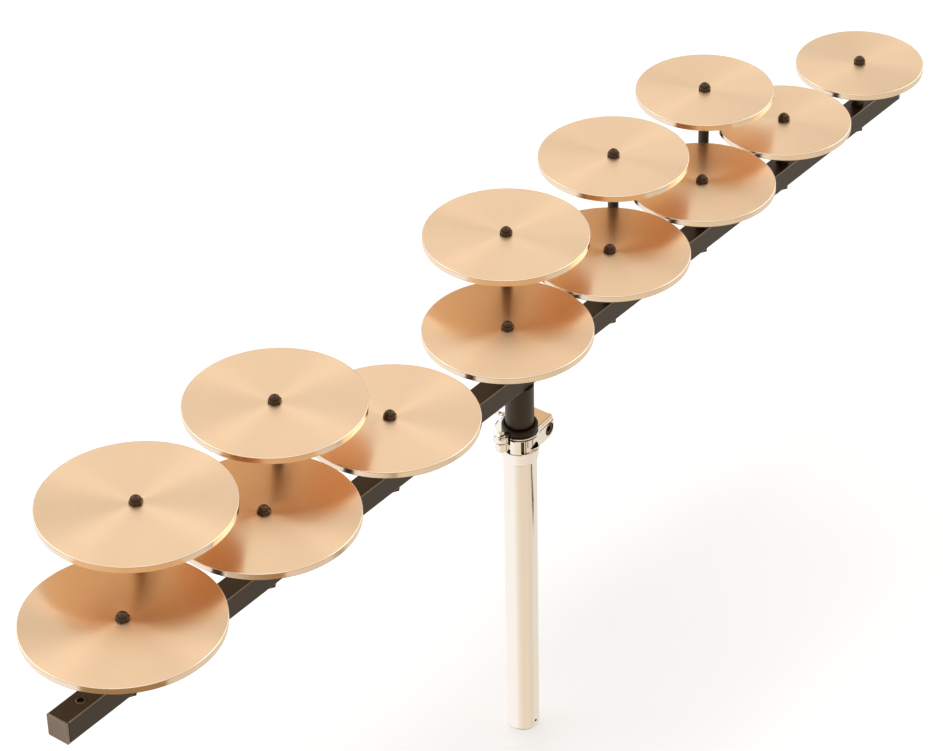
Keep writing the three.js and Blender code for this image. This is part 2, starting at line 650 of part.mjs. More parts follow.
// The hinged front strap with its lower knuckle and the recess for the bolt's head
function clampJaw() {
  const strap = solid(raised(strapPlan(), LUG_BOTTOM, COLLAR_TOP)).intersect(solid(strapFront()));
  const tabTop = KNUCKLE_BOTTOM + TAB_HEIGHT;
  const tab = collarSector(COLLAR_RADIUS, TAB_FROM, STRAP_FROM + TAB_LAP, KNUCKLE_BOTTOM, tabTop);
  const hole = onBolt(BOLT_HOLE_RADIUS, 0, LUG_REACH, POST_SIDES);
  const recess = onBolt(BOLT_RECESS_RADIUS, BOLT_RECESS_DEPTH - EAR_FRONT, LUG_REACH, TUBE_SIDES);
  const bore = round(COLLAR_BORE_RADIUS, SKIRT_BOTTOM, BUSHING_TOP, TUBE_SIDES);
  return surface(solid(alongStrap(surface(strap)))
    .add(solid(tab))
    .add(solid(knuckle(KNUCKLE_RADIUS, KNUCKLE_BOTTOM, LOWER_KNUCKLE_TOP)))
    .subtract(solid(knuckle(PIN_RADIUS + GAP, SKIRT_BOTTOM, BUSHING_TOP)))
    .subtract(solid(hole))
    .subtract(solid(recess))
    .subtract(solid(bore)));
}

// The hinge pin with its domed head on top of the knuckles
function hingePin() {
  const head = KNUCKLE_TOP + GAP;
  return turned([
    [0, KNUCKLE_BOTTOM],
    [PIN_RADIUS, KNUCKLE_BOTTOM],
    [PIN_RADIUS, head],
    [PIN_HEAD_RADIUS, head],
    [PIN_HEAD_RADIUS, head + PIN_HEAD_RISE / 2],
    [PIN_HEAD_RADIUS / 2, head + PIN_HEAD_RISE],
    [0, head + PIN_HEAD_RISE],
  ], POST_SIDES).translate(HINGE_X, HINGE_Y, 0);
}

// The clamp bolt: socket head in the strap's recess and a shank through the lug
function clampBolt() {
  const seat = EAR_FRONT - BOLT_RECESS_DEPTH + GAP;
  const top = seat + BOLT_HEAD_HEIGHT;
  const head = solid(onBolt(BOLT_HEAD_RADIUS, -seat, top, POST_SIDES));
  const shank = solid(onBolt(BOLT_RADIUS, BOLT_TAIL, seat + BOLT_HEAD_HEIGHT / 2, POST_SIDES));
  const socket = onBolt(BOLT_SOCKET_RADIUS, BOLT_SOCKET_DEPTH - top, top + BOLT_SOCKET_DEPTH, HEX_SIDES);
  return surface(head.add(shank).subtract(solid(socket)));
}

// The wing nut behind the lug, built about +Z and then laid on the bolt's axis
function wingNut() {
  const hub = solid(turned([
    [0, 0],
    [WING_HUB_RADIUS, 0],
    [WING_HUB_NECK_RADIUS, WING_HUB_LENGTH],
    [0, WING_HUB_LENGTH],
  ], TUBE_SIDES));
  const wings = outline([
    [0, WING_ROOT_LOW],
    [WING_HUB_NECK_RADIUS, WING_ROOT_LOW],
    [WING_SPAN, WING_TIP_LOW],
    [WING_SPAN, WING_TIP_HIGH],
    [WING_SPAN - WING_HUB_NECK_RADIUS, WING_TIP_HIGH],
    [WING_HUB_NECK_RADIUS, WING_ROOT_HIGH],
    [-WING_HUB_NECK_RADIUS, WING_ROOT_HIGH],
    [WING_HUB_NECK_RADIUS - WING_SPAN, WING_TIP_HIGH],
    [-WING_SPAN, WING_TIP_HIGH],
    [-WING_SPAN, WING_TIP_LOW],
    [-WING_HUB_NECK_RADIUS, WING_ROOT_LOW],
  ]);
  const plate = raised(wings, -WING_THICKNESS / 2, WING_THICKNESS / 2).rotateX(Math.PI / 2);
  const bore = round(WING_BORE_RADIUS, -WING_HUB_LENGTH, 2 * WING_HUB_LENGTH, SMALL_SIDES);
  const nut = surface(hub.add(solid(plate)).subtract(solid(bore)));
  nut.rotateZ(THREE.MathUtils.degToRad(WING_TURN)).rotateX(-Math.PI / 2);
  return alongStrap(nut.translate(BOLT_ALONG, LUG_BACK + WING_PLAY, BOLT_HEIGHT));
}

const group = new THREE.Group();

function place(name, geometry, material, x = 0, y = 0, z = 0) {
  const mesh = new THREE.Mesh(geometry, material);
  mesh.name = name;
  mesh.position.set(x, y, z);
  group.add(mesh);
  return mesh;
}

for (const { note, radius, along, headless } of NATURALS) {
  place(`crotale_${note}`, crotale(radius), bronze, along, 0, NATURAL_TOP);
  place(`nut_${note}`, capNut(), nutBlack, along, 0, NATURAL_TOP);
  place(`post_${note}`, naturalPost(), black, along);
  place(`post_screw_${note}`, postScrew(headless), nutBlack, along);
}

for (const { note, radius, along } of SHARPS) {
  place(`crotale_${note}`, crotale(radius), bronze, along, SHARP_BEHIND, SHARP_TOP);
  place(`nut_${note}`, capNut(), nutBlack, along, SHARP_BEHIND, SHARP_TOP);
  place(`rod_${note}`, sharpRod(), black, along);
}

place("bar", bar(), black);
place("end_plug_low", endPlug(), black, BAR_LOW_END);
place("end_plug_high", endPlug(), black, BAR_HIGH_END).rotation.z = Math.PI;
place("plug_screw_low", plugScrew(), nutBlack, BAR_LOW_END + PLUG_SCREW_INSET);
place("plug_screw_high", plugScrew(), nutBlack, BAR_HIGH_END - PLUG_SCREW_INSET);
place("mast", mast(), black);
place("stand_tube", standTube(), chrome);
place("clamp_body", clampBody(), chrome);
place("clamp_jaw", clampJaw(), chrome);
place("clamp_bushing", bushing(), nylon);
place("clamp_hinge_pin", hingePin(), chrome);
place("clamp_bolt", clampBolt(), chrome);
place("clamp_wing_nut", wingNut(), chrome);

export default group;
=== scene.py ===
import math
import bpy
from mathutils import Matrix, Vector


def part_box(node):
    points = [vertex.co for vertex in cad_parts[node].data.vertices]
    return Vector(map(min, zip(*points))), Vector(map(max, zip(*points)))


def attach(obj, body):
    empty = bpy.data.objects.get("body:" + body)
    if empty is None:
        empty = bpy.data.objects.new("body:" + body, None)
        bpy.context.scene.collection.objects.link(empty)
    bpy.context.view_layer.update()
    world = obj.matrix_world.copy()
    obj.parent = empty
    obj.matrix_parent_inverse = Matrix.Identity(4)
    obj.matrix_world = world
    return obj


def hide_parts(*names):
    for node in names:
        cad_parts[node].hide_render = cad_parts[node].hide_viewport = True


bl_info = {
    "name": "Crotales on a bar",
    "version": (1, 0, 0),
    "blender": (4, 5, 0),
    "location": "View3D > Sidebar > Crotales",
    "description": "Dresses the packed crotales with turned discs, posts, bar, clamp and studio",
    "category": "Add Mesh",
}

import bmesh
import bpy
from mathutils import Euler, Matrix, Vector

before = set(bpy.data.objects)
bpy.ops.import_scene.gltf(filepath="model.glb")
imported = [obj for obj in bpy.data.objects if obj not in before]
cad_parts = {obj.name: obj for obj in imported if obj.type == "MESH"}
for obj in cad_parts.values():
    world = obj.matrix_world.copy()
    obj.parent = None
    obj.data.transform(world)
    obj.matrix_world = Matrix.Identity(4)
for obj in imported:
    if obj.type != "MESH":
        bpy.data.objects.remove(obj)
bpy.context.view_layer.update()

MM = 0.001
FULL_TURN = 2 * math.pi
QUARTER_TURN = math.pi / 2
WHITE = (1.0, 1.0, 1.0, 1.0)
# Dark coats glint in the warm tone of the room and of the discs round them
WARM_GLINT = (1.0, 0.76, 0.54, 1.0)
NATURALS = ("c_low", "d", "e", "f", "g", "a", "b", "c_high")
SHARPS = ("c_sharp", "d_sharp", "f_sharp", "g_sharp", "a_sharp")

# Steps round a full turn, from thin screws to the discs
SCREW_STEPS = 32
SMALL_STEPS = 48
WIDE_STEPS = 64
TUBE_STEPS = 96
DISC_STEPS = 128

# Two points closer than this are one point
WELD = 0.001 * MM
# Two lengths closer than this are the same
SAME = 1e-6

# Nuts, posts, rods and screws in millimetres
NUT_CORNER = 4.8
NUT_FLAT_TOP = 1.5
POST_RADIUS = 4.75
ROD_RADIUS = 3.95
ROD_BEND = 20.0
STUD_RADIUS = 2.5
STUD_TIP_RADIUS = 2.0
STUD_LENGTH = 11.5
SHANK_RADIUS = 3.0
SCREW_CORNER = 5.7
SCREW_HEAD = 4.2
WASHER_RADIUS = 6.2
WASHER_TOP = 5.4
SMALL_ROUND = 0.4

# Bar ends, mast and stand tube in millimetres
END_PLATE = 2.0
SCREW_RING_RADIUS = 3.7
SCREW_RING_DEPTH = 1.6
SOCKET_HEAD_RADIUS = 3.4
SOCKET_HEAD = 1.8
SOCKET_CORNER = 2.3
SOCKET_DEPTH = 1.4
MAST_WALL = 1.5
MAST_CAP = 3.0
MAST_STUB_RADIUS = 5.0
TUBE_WALL = 1.2
DRILL_RADIUS = 1.3
DRILL_HEIGHT = 6.0

# Clamp in millimetres and its turns in degrees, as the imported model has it
COLLAR_BORE = 12.6
COLLAR_RADIUS = 14.2
BACK_RADIUS = 18.6
COLLAR_BOTTOM = 256.5
COLLAR_TOP = 270.0
HINGE = (-16.2, 3.5)
KNUCKLE_RADIUS = 5.2
KNUCKLE_GAP = 0.3
PIN_HOLE_RADIUS = 2.2
STRAP_TURN = 4.0
EAR_FRONT = 13.0
EAR_BACK = 10.6
EAR_END = 23.6
EAR_BOTTOM = 255.5
EAR_ROUND = 5.5
BOLT_ALONG = 18.0
BOLT_HEIGHT = 262.9
BOLT_HEAD_RADIUS = 4.5
BOLT_SINK = 1.4
LUG_BACK = 13.0
WING_THICKNESS = 2.8
WING_TURN = 30.0

# The camera fitted to the photograph: degrees, metres, then pixels
IMAGE_WIDTH = 943
CAMERA_ANGLES = (51.22854, 35.65405, -1.28035)
CAMERA_PLACE = (-1.54571, -1.19580, 1.71678)
CAMERA_FOCUS = 3480.527
CAMERA_SHIFT = (3.891, 0.873)
SENSOR_WIDTH = 36.0

# Studio: the floor's radius and the softbox in metres, then directions in degrees from +X
FLOOR_RADIUS = 6.0
SOFTBOX_SIZE = (4.6, 3.4)
SOFTBOX_PLACE = (0.6, 0.8, 5.0)
LIGHT_BEARINGS = (89, -11)
LIGHT_ELEVATION = 38
GAP_BEARINGS = (66, 17)
GAP_ELEVATION = 39


def seat_of(node):
    """Where a node stands: the middle of its box, on its lowest level."""
    low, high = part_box(node)
    return Vector(((low.x + high.x) / 2, (low.y + high.y) / 2, low.z))


def levels_of(node):
    """A node's lowest and highest level in millimetres."""
    low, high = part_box(node)
    return low.z / MM, high.z / MM


# Sizes and colours that a user would change


def hex_property(name, text, default):
    """A colour that a user can change, as an sRGB hex code."""
    return bpy.props.StringProperty(name=name, description=text, default=default)


def length_property(name, text, default):
    """A length that a user can change."""
    return bpy.props.FloatProperty(name=name, description=text, default=default, unit="LENGTH")


class DiscSettings(bpy.types.PropertyGroup):
    thickness: length_property("Thickness", "Thickness of every disc", 4.8 * MM)
    rim_round: length_property("Rim rounding", "Rounding of a disc's two rim edges", 0.5 * MM)
    boss_radius: length_property("Boss radius", "Radius of the boss under a disc", 11.0 * MM)
    boss_height: length_property("Boss height", "Height of the boss under a disc", 2.6 * MM)
    hole_radius: length_property("Hole radius", "Radius of a disc's centre hole", 2.9 * MM)
    colour: hex_property("Bronze", "Colour of the fresh turned bronze", "#fad6ae")
    worn_colour: hex_property("Toned bronze", "Colour where the bronze has toned", "#f3cfa6")
    rim_colour: hex_property("Rim bronze", "Colour of the bright turned rims", "#f6e0c8")


class StandSettings(bpy.types.PropertyGroup):
    edge_round: length_property("Edge rounding", "Rounding of the bar's long edges", 0.6 * MM)
    paint_colour: hex_property("Paint", "Colour of the satin black paint", "#1d140c")
    plate_colour: hex_property("End plate", "Colour of the bar's end plates", "#857362")
    chrome_colour: hex_property("Chrome", "Colour of the chrome plating", "#fbf2e8")
    # The recesses' colour is dull plating and painted shade in one
    recess_shade_colour: hex_property("Recesses", "Colour of the clamp's dull recesses", "#57493b")
    oxide_colour: hex_property("Black oxide", "Colour of the nuts and screws", "#46372d")
    nylon_colour: hex_property("Nylon", "Colour of the clamp's bushing", "#140d09")
    # Edges lighter than the coat: rubbed paint with a painted highlight
    rubbed_edge_highlight_colour: hex_property(
        "Rubbed paint", "Colour of painted edges that have been rubbed", "#8f8577"
    )


class StudioSettings(bpy.types.PropertyGroup):
    floor_colour: hex_property("Floor", "Colour of the pale studio floor", "#f7f6f4")
    sky_strength: bpy.props.FloatProperty(
        name="Fill",
        description="Strength of the even light from all round",
        default=0.55,
        min=0.0,
    )
    key_power: bpy.props.FloatProperty(
        name="Key light",
        description="Power of the wide light overhead",
        default=105.0,
        unit="POWER",
    )
    room_colour: hex_property(
        "Room", "Tone of the camera's side of the room in bright metal", "#e9dcc8"
    )
    side_colour: hex_property(
        "Side", "Tone of the room right of the set in bright metal", "#e9e4da"
    )
    card_colour: hex_property(
        "Dark room", "Tone of the horizon and of the dark card in bright metal", "#4a3a2c"
    )
    rim_card_colour: hex_property(
        "Tan card", "Tone of the curved card that the lowest disc's rim mirrors", "#a4875f"
    )
    gap_colour: hex_property(
        "Gap", "Tone of the gaps between the lights in bright metal", "#2a2622"
    )
    ceiling_strength: bpy.props.FloatProperty(
        name="Ceiling light",
        description="Brightness of the light right above in bright metal",
        default=1.4,
    )
    side_strength: bpy.props.FloatProperty(
        name="Side lights",
        description="Brightness of the two side lights in bright metal",
        default=2.4,
    )


# Materials


def linear(hex_code):
    """An sRGB hex colour as the linear colour that a shader takes."""
    parts = [int(hex_code[i : i + 2], 16) / 255 for i in (1, 3, 5)]
    curve = [p / 12.92 if p <= 0.04045 else ((p + 0.055) / 1.055) ** 2.4 for p in parts]
    return (*curve, 1.0)


def add(tree, kind, inputs=None, **settings):
    """Adds a node with its settings, and with a value or a link for each named input."""
    node = tree.nodes.new(kind)
    for name, value in settings.items():
        setattr(node, name, value)
    for name, value in (inputs or {}).items():
        if isinstance(value, bpy.types.NodeSocket):
            tree.links.new(value, node.inputs[name])
        else:
            node.inputs[name].default_value = value
    return node


def new_material(name):
    """The empty node tree of a new material, which its pieces find by its name."""
    material = bpy.data.materials.new(name)
    if material.name != name:
        raise RuntimeError(f"another material already has the name {name}")
    material.use_nodes = True
    material.node_tree.nodes.clear()
    return material.node_tree


def shade(tree, **inputs):
    """Puts one Principled shader on the material's output."""
    named = {key.replace("_", " "): value for key, value in inputs.items()}
    shader = add(tree, "ShaderNodeBsdfPrincipled", named)
    add(tree, "ShaderNodeOutputMaterial", {"Surface": shader.outputs["BSDF"]})


def ramp_of(tree, factor, low, high, first, second):
    """A smooth change from one colour to another between two values of a factor."""
    ramp = add(tree, "ShaderNodeValToRGB", {"Fac": factor})
    ramp.color_ramp.elements[0].position = low
    ramp.color_ramp.elements[0].color = first
    ramp.color_ramp.elements[1].position = high
    ramp.color_ramp.elements[1].color = second
    return ramp.outputs["Color"]


def noise(tree, at, grain, detail=2.0, dimensions="3D"):
    """Noise of a grain in metres, at a place or along one measure."""
    inputs = {"W" if dimensions == "1D" else "Vector": at, "Scale": 1 / grain, "Detail": detail}
    return add(tree, "ShaderNodeTexNoise", inputs, noise_dimensions=dimensions).outputs["Fac"]


def between(tree, factor, low, high):
    """A value that goes from low to high as a factor goes from 0 to 1."""
    inputs = {"Value": factor, "To Min": low, "To Max": high}
    return add(tree, "ShaderNodeMapRange", inputs).outputs["Result"]


def relief(tree, height, strength, depth):
    """The normals of a fine relief, with its depth in metres."""
    inputs = {"Height": height, "Strength": strength, "Distance": depth}
    return add(tree, "ShaderNodeBump", inputs).outputs["Normal"]


def bronze_material():
    """Lathe-turned bell bronze: the fine rings drag every highlight into cones round the nut."""
    disc = bpy.context.scene.crotales_disc
    tree = new_material("lathe_turned_bell_bronze")
    place = add(tree, "ShaderNodeAttribute", attribute_name="from_axis").outputs["Vector"]
    radius = add(tree, "ShaderNodeVectorMath", {0: place}, operation="LENGTH").outputs["Value"]
    # Turning marks are 0.2 mm apart on the real disc, drawn 1.6 mm apart so that they show
    rings = noise(tree, radius, 1.6 * MM, dimensions="1D")
    patches = noise(tree, place, 70 * MM)
    shares = {"Factor": 0.25, "A": patches, "B": rings}
    blend = add(tree, "ShaderNodeMix", shares, data_type="FLOAT").outputs["Result"]
    tangent = add(tree, "ShaderNodeTangent", direction_type="RADIAL", axis="Z")
    shade(
        tree,
        Base_Color=ramp_of(tree, blend, 0.3, 0.7, linear(disc.worn_colour), linear(disc.colour)),
        Metallic=1.0,
        Roughness=between(tree, rings, 0.27, 0.34),
        Anisotropic=0.85,
        Anisotropic_Rotation=0.25,
        Tangent=tangent.outputs["Tangent"],
        Normal=relief(tree, rings, 0.03, 0.2 * MM),
        Coat_Weight=0.25,
        Coat_Roughness=0.2,
    )


def rim_material():
    """The discs' turned rims: the same bronze, cut to a bright finish with fine level marks."""
    disc = bpy.context.scene.crotales_disc
    tree = new_material("bright_turned_bronze_rim")
    place = add(tree, "ShaderNodeTexCoord").outputs["Object"]
    height = add(tree, "ShaderNodeSeparateXYZ", {"Vector": place}).outputs["Z"]
    # Tool marks are 0.1 mm apart on the real rim, drawn 0.6 mm apart so that they show
    marks = noise(tree, height, 0.6 * MM, dimensions="1D")
    shade(
        tree,
        Base_Color=linear(disc.rim_colour),
        Metallic=1.0,
        Roughness=between(tree, marks, 0.12, 0.2),
        Normal=relief(tree, marks, 0.05, 0.1 * MM),
    )


def coat_material(name, colour, rough, grain, peel_depth, metal=0.0, level=0.5, glint=WARM_GLINT):
    """A painted, blackened or moulded skin: mottled gloss, faint peel, slow changes of tone."""
    tree = new_material(name)
    place = add(tree, "ShaderNodeTexCoord").outputs["Object"]
    peel = noise(tree, place, grain, 3.0)
    cloud = noise(tree, place, 30 * MM)
    base = linear(colour)
    lighter = (*(min(1.0, 1.35 * share) for share in base[:3]), 1.0)
    shade(
        tree,
        Base_Color=ramp_of(tree, cloud, 0.35, 0.7, base, lighter),
        Metallic=metal,
        Roughness=between(tree, peel, rough - 0.06, rough + 0.08),
        Specular_IOR_Level=level,
        Specular_Tint=glint,
        Normal=relief(tree, peel, peel_depth, 0.1 * MM),
    )


def chrome_material():
    """Bright chrome plating: a near mirror with the faintest haze from wiping."""
    stand = bpy.context.scene.crotales_stand
    tree = new_material("bright_chrome_plating")
    place = add(tree, "ShaderNodeTexCoord").outputs["Object"]
    haze = noise(tree, place, 12 * MM, 4.0)
    shade(
        tree,
        Base_Color=linear(stand.chrome_colour),
        Metallic=1.0,
        Roughness=between(tree, haze, 0.04, 0.12),
        Normal=relief(tree, haze, 0.03, 0.3 * MM),
    )


def floor_material():
    """Matt pale studio paper, which reads as plain white where no shadow falls."""
    studio = bpy.context.scene.crotales_studio
    tree = new_material("pale_studio_paper")
    paper = add(tree, "ShaderNodeBsdfDiffuse", {"Color": linear(studio.floor_colour)})
    glow = add(tree, "ShaderNodeEmission", {"Color": WHITE, "Strength": seen_white(tree, 0.3, 0.0)})
    both = add(tree, "ShaderNodeAddShader")
    tree.links.new(paper.outputs["BSDF"], both.inputs[0])
    tree.links.new(glow.outputs["Emission"], both.inputs[1])
    add(tree, "ShaderNodeOutputMaterial", {"Surface": both.outputs["Shader"]})


def seen_white(tree, seen, other):
    """One strength for what the camera and mirror-like surfaces see, another for what lights."""
    path = add(tree, "ShaderNodeLightPath")
    bright = path.outputs["Is Camera Ray"]
    for ray in ("Is Glossy Ray", "Is Transmission Ray"):
        bright = add(
            tree, "ShaderNodeMath", {0: bright, 1: path.outputs[ray]}, operation="MAXIMUM"
        ).outputs["Value"]
    return between(tree, bright, other, seen)


# Shapes


def spun(profile, steps, closed=False):
    """A shape turned about Z from (radius, height) pairs in millimetres, as a bmesh."""
    bm = bmesh.new()
    ring = [bm.verts.new((radius * MM, 0, height * MM)) for radius, height in profile]
    edges = [bm.edges.new(pair) for pair in zip(ring, ring[1:])]
    if closed:
        edges.append(bm.edges.new((ring[-1], ring[0])))
    bmesh.ops.spin(
        bm, geom=ring + edges, axis=(0, 0, 1), cent=(0, 0, 0), angle=FULL_TURN, steps=steps,
        use_merge=True,
    )
    bmesh.ops.remove_doubles(bm, verts=bm.verts, dist=WELD)
    bmesh.ops.recalc_face_normals(bm, faces=bm.faces)
    return bm


def swept(section, start, end, steps):
    """A section of (radius, height) pairs in millimetres turned about Z between two angles."""
    bm = bmesh.new()
    turn = Matrix.Rotation(math.radians(start), 3, "Z")
    points = [turn @ Vector((radius * MM, 0, height * MM)) for radius, height in section]
    face = bm.faces.new([bm.verts.new(point) for point in points])
    bmesh.ops.spin(
        bm, geom=[face, *face.edges, *face.verts], axis=(0, 0, 1), cent=(0, 0, 0),
        angle=math.radians(end - start), steps=steps,
    )
    bmesh.ops.recalc_face_normals(bm, faces=bm.faces)
    return bm


def raised(outline, low, high):
    """A flat outline of (x, y) points in millimetres raised between two heights."""
    bm = bmesh.new()
    face = bm.faces.new([bm.verts.new((x * MM, y * MM, low * MM)) for x, y in outline])
    grown = bmesh.ops.extrude_face_region(bm, geom=[face])
    top = [g for g in grown["geom"] if isinstance(g, bmesh.types.BMVert)]
    bmesh.ops.translate(bm, verts=top, vec=(0, 0, (high - low) * MM))
    bmesh.ops.recalc_face_normals(bm, faces=bm.faces)
    return bm


def moved(bm, matrix):
    """The same bmesh after a turn and a shift."""
    bmesh.ops.transform(bm, matrix=matrix, verts=bm.verts)
    return bm


def rings_at(bm, corners):
    """The round edges that pass through (radius, height) pairs in millimetres."""

    def on_corner(vert):
        return any(
            abs(vert.co.xy.length - radius * MM) < 10 * WELD
            and abs(vert.co.z - height * MM) < 10 * WELD
            for radius, height in corners
        )

    def level_and_round(edge):
        first, second = (vert.co for vert in edge.verts)
        same_level = abs(first.z - second.z) < SAME / 10
        return same_level and abs(first.xy.length - second.xy.length) < SAME

    return [e for e in bm.edges if level_and_round(e) and all(map(on_corner, e.verts))]


def rounded(bm, edges, offset, segments=3, edge_slot=0, clamp=False):
    """Rounds edges by an offset in millimetres and keeps the flats beside them crisp."""
    made = bmesh.ops.bevel(
        bm, geom=edges, offset=offset * MM, affect="EDGES", segments=segments, profile=0.5,
        material=-1, clamp_overlap=clamp,
    )
    new = set(made["faces"])
    for face in new:
        face.material_index = edge_slot
    for edge in bm.edges:
        if len(set(edge.link_faces) & new) == 1:
            edge.smooth = False
    return bm


def linked(name, bm, materials):
    """A new object in the scene from a bmesh, with its materials by their names."""
    mesh = bpy.data.meshes.new(name)
    bm.to_mesh(mesh)
    bm.free()
    for material in materials.split():
        mesh.materials.append(bpy.data.materials[material])
    made = bpy.data.objects.new(name, mesh)
    bpy.context.scene.collection.objects.link(made)
    return made


def piece(name, bm, materials, slot, body, *nodes, at=(0, 0, 0), crease=30):
    """Turns a bmesh into a finished object at its place and lets it ride on its body."""
    bmesh.ops.translate(bm, verts=bm.verts, vec=at)
    limit = math.radians(crease)
    for face in bm.faces:
        face.smooth = True
    for edge in bm.edges:
        if edge.calc_face_angle(0) > limit:
            edge.smooth = False
    made = linked(name, bm, materials)
    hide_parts(*nodes)
    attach(made, body)
    return made


def from_axis(made, centre):
    """Stores each point's place from a disc's own axis, for the turning marks."""
    marks = made.data.attributes.new("from_axis", "FLOAT_VECTOR", "POINT")
    for item, vert in zip(marks.data, made.data.vertices):
        item.vector = (vert.co.x - centre.x, vert.co.y - centre.y, 0.0)


def hexagon(corner_radius, low, high):
    """A six-sided prism about Z, in millimetres."""
    bm = bmesh.new()
    bmesh.ops.create_cone(
        bm, cap_ends=True, segments=6, radius1=corner_radius * MM, radius2=corner_radius * MM,
        depth=(high - low) * MM, matrix=Matrix.Translation((0, 0, (high + low) / 2 * MM)),
    )
    return bm


def dull_and_shaded(bm):
    """Marks a cutting shape, so that what it cuts shows the piece's second material, a dull finish
    darkened as painted shade.
    """
    for face in bm.faces:
        face.material_index = 1
    return bm


def carved(bm, joined=(), cut=()):
    """Joins and cuts solids in order and gives the result as one bmesh."""
    # Two materials, so that what a marked tool cuts can take the second one: dull plating darkened
    # as painted shade
    finishes = "bright_chrome_plating dull_plated_recess"
    blank = linked("blank", bm, finishes)
    tools = [(tool, "UNION") for tool in joined] + [(tool, "DIFFERENCE") for tool in cut]
    helpers = []
    for tool, operation in tools:
        helper = linked("tool", tool, finishes)
        step = blank.modifiers.new("carve", "BOOLEAN")
        step.operation = operation
        step.solver = "EXACT"
        step.material_mode = "INDEX"
        step.object = helper
        helpers.append(helper)
    bpy.context.view_layer.update()
    shape = blank.evaluated_get(bpy.context.evaluated_depsgraph_get())
    result = bmesh.new()
    result.from_mesh(shape.to_mesh())
    shape.to_mesh_clear()
    for spare in [blank, *helpers]:
        mesh = spare.data
        bpy.data.objects.remove(spare)
        bpy.data.meshes.remove(mesh)
    bmesh.ops.remove_doubles(result, verts=result.verts, dist=WELD)
    bmesh.ops.dissolve_degenerate(result, dist=WELD, edges=result.edges)
    gaps = sum(not edge.is_manifold for edge in result.edges)
    if gaps:
        raise RuntimeError(f"carving left {gaps} open edges")
    return result


def rod(radius, low, high, steps=SMALL_STEPS, centre=(0, 0)):
    """A plain round solid about an upright axis, in millimetres, for joining and cutting."""
    bm = spun([(0, low), (radius, low), (radius, high), (0, high)], steps)
    return moved(bm, Matrix.Translation((centre[0] * MM, centre[1] * MM, 0)))


def stud_end(low, tip):
    """The profile of a threaded end with its chamfer, from a level up to its tip."""
    return [(STUD_RADIUS, low), (STUD_RADIUS, tip - 0.5), (STUD_TIP_RADIUS, tip), (0, tip)]


def slab(low, high, edge=0.0, edge_slot=0):
    """A block between two corners in millimetres, with its edges rounded if asked."""
    bm = bmesh.new()
    bmesh.ops.create_cube(bm, size=1.0)
    size = [(b - a) * MM for a, b in zip(low, high)]
    middle = [(b + a) / 2 * MM for a, b in zip(low, high)]
    bmesh.ops.scale(bm, vec=size, verts=bm.verts)
    bmesh.ops.translate(bm, vec=middle, verts=bm.verts)
    if edge:
        rounded(bm, bm.edges[:], edge, edge_slot=edge_slot)
    return bm


# Pieces


class CROTALES_OT_discs(bpy.types.Operator):
    """Turned bronze discs with crisp rims, a boss underneath and a centre hole"""

    bl_idname = "crotales.discs"
    bl_label = "Discs"

    def execute(self, context):
        sizes = context.scene.crotales_disc
        under = -sizes.thickness / MM
        boss_under = under - sizes.boss_height / MM
        boss = sizes.boss_radius / MM
        hole = sizes.hole_radius / MM
        for note in NATURALS + SHARPS:
            low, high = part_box(f"crotale_{note}")
            centre = Vector(((low.x + high.x) / 2, (low.y + high.y) / 2, high.z))
            radius = (high.x - low.x) / 2 / MM
            bm = spun(
                [
                    (hole, boss_under), (boss, boss_under), (boss, under), (radius, under),
                    (radius, 0), (hole, 0),
                ],
                DISC_STEPS,
                closed=True,
            )
            rounded(bm, rings_at(bm, [(radius, under), (radius, 0)]), sizes.rim_round / MM)
            rounded(bm, rings_at(bm, [(boss, boss_under), (hole, 0)]), SMALL_ROUND, 2)
            # The rim's finish starts just inside its rounding
            inside = radius * MM - 1.2 * sizes.rim_round
            for face in bm.faces:
                face.material_index = int(face.calc_center_median().xy.length > inside)
            made = piece(
                f"disc_{note}", bm, "lathe_turned_bell_bronze bright_turned_bronze_rim", "bronze",
                f"disc_{note}", f"crotale_{note}", at=centre,
            )
            from_axis(made, centre)
        return {"FINISHED"}


class CROTALES_OT_nuts(bpy.types.Operator):
    """Blackened cap nuts: a low hexagon with a washer face and a polished dome"""

    bl_idname = "crotales.nuts"
    bl_label = "Cap nuts"

    def execute(self, context):
        collar = [(0, 1.0), (4.3, 1.0), (4.3, 1.6)]
        dome = [(3.8, 2.0), (3.7, 2.7), (3.4, 3.4), (2.8, 4.1), (1.9, 4.8), (1.0, 5.2), (0, 5.4)]
        for note in NATURALS + SHARPS:
            node = f"nut_{note}"
            flats = hexagon(NUT_CORNER, 0.0, NUT_FLAT_TOP)
            bm = carved(flats, joined=[spun(collar + dome, SMALL_STEPS)])
            name = f"cap_nut_{note}"
            piece(name, bm, "black_oxide_steel", "black_nut", "rack", node, at=seat_of(node))
        return {"FINISHED"}


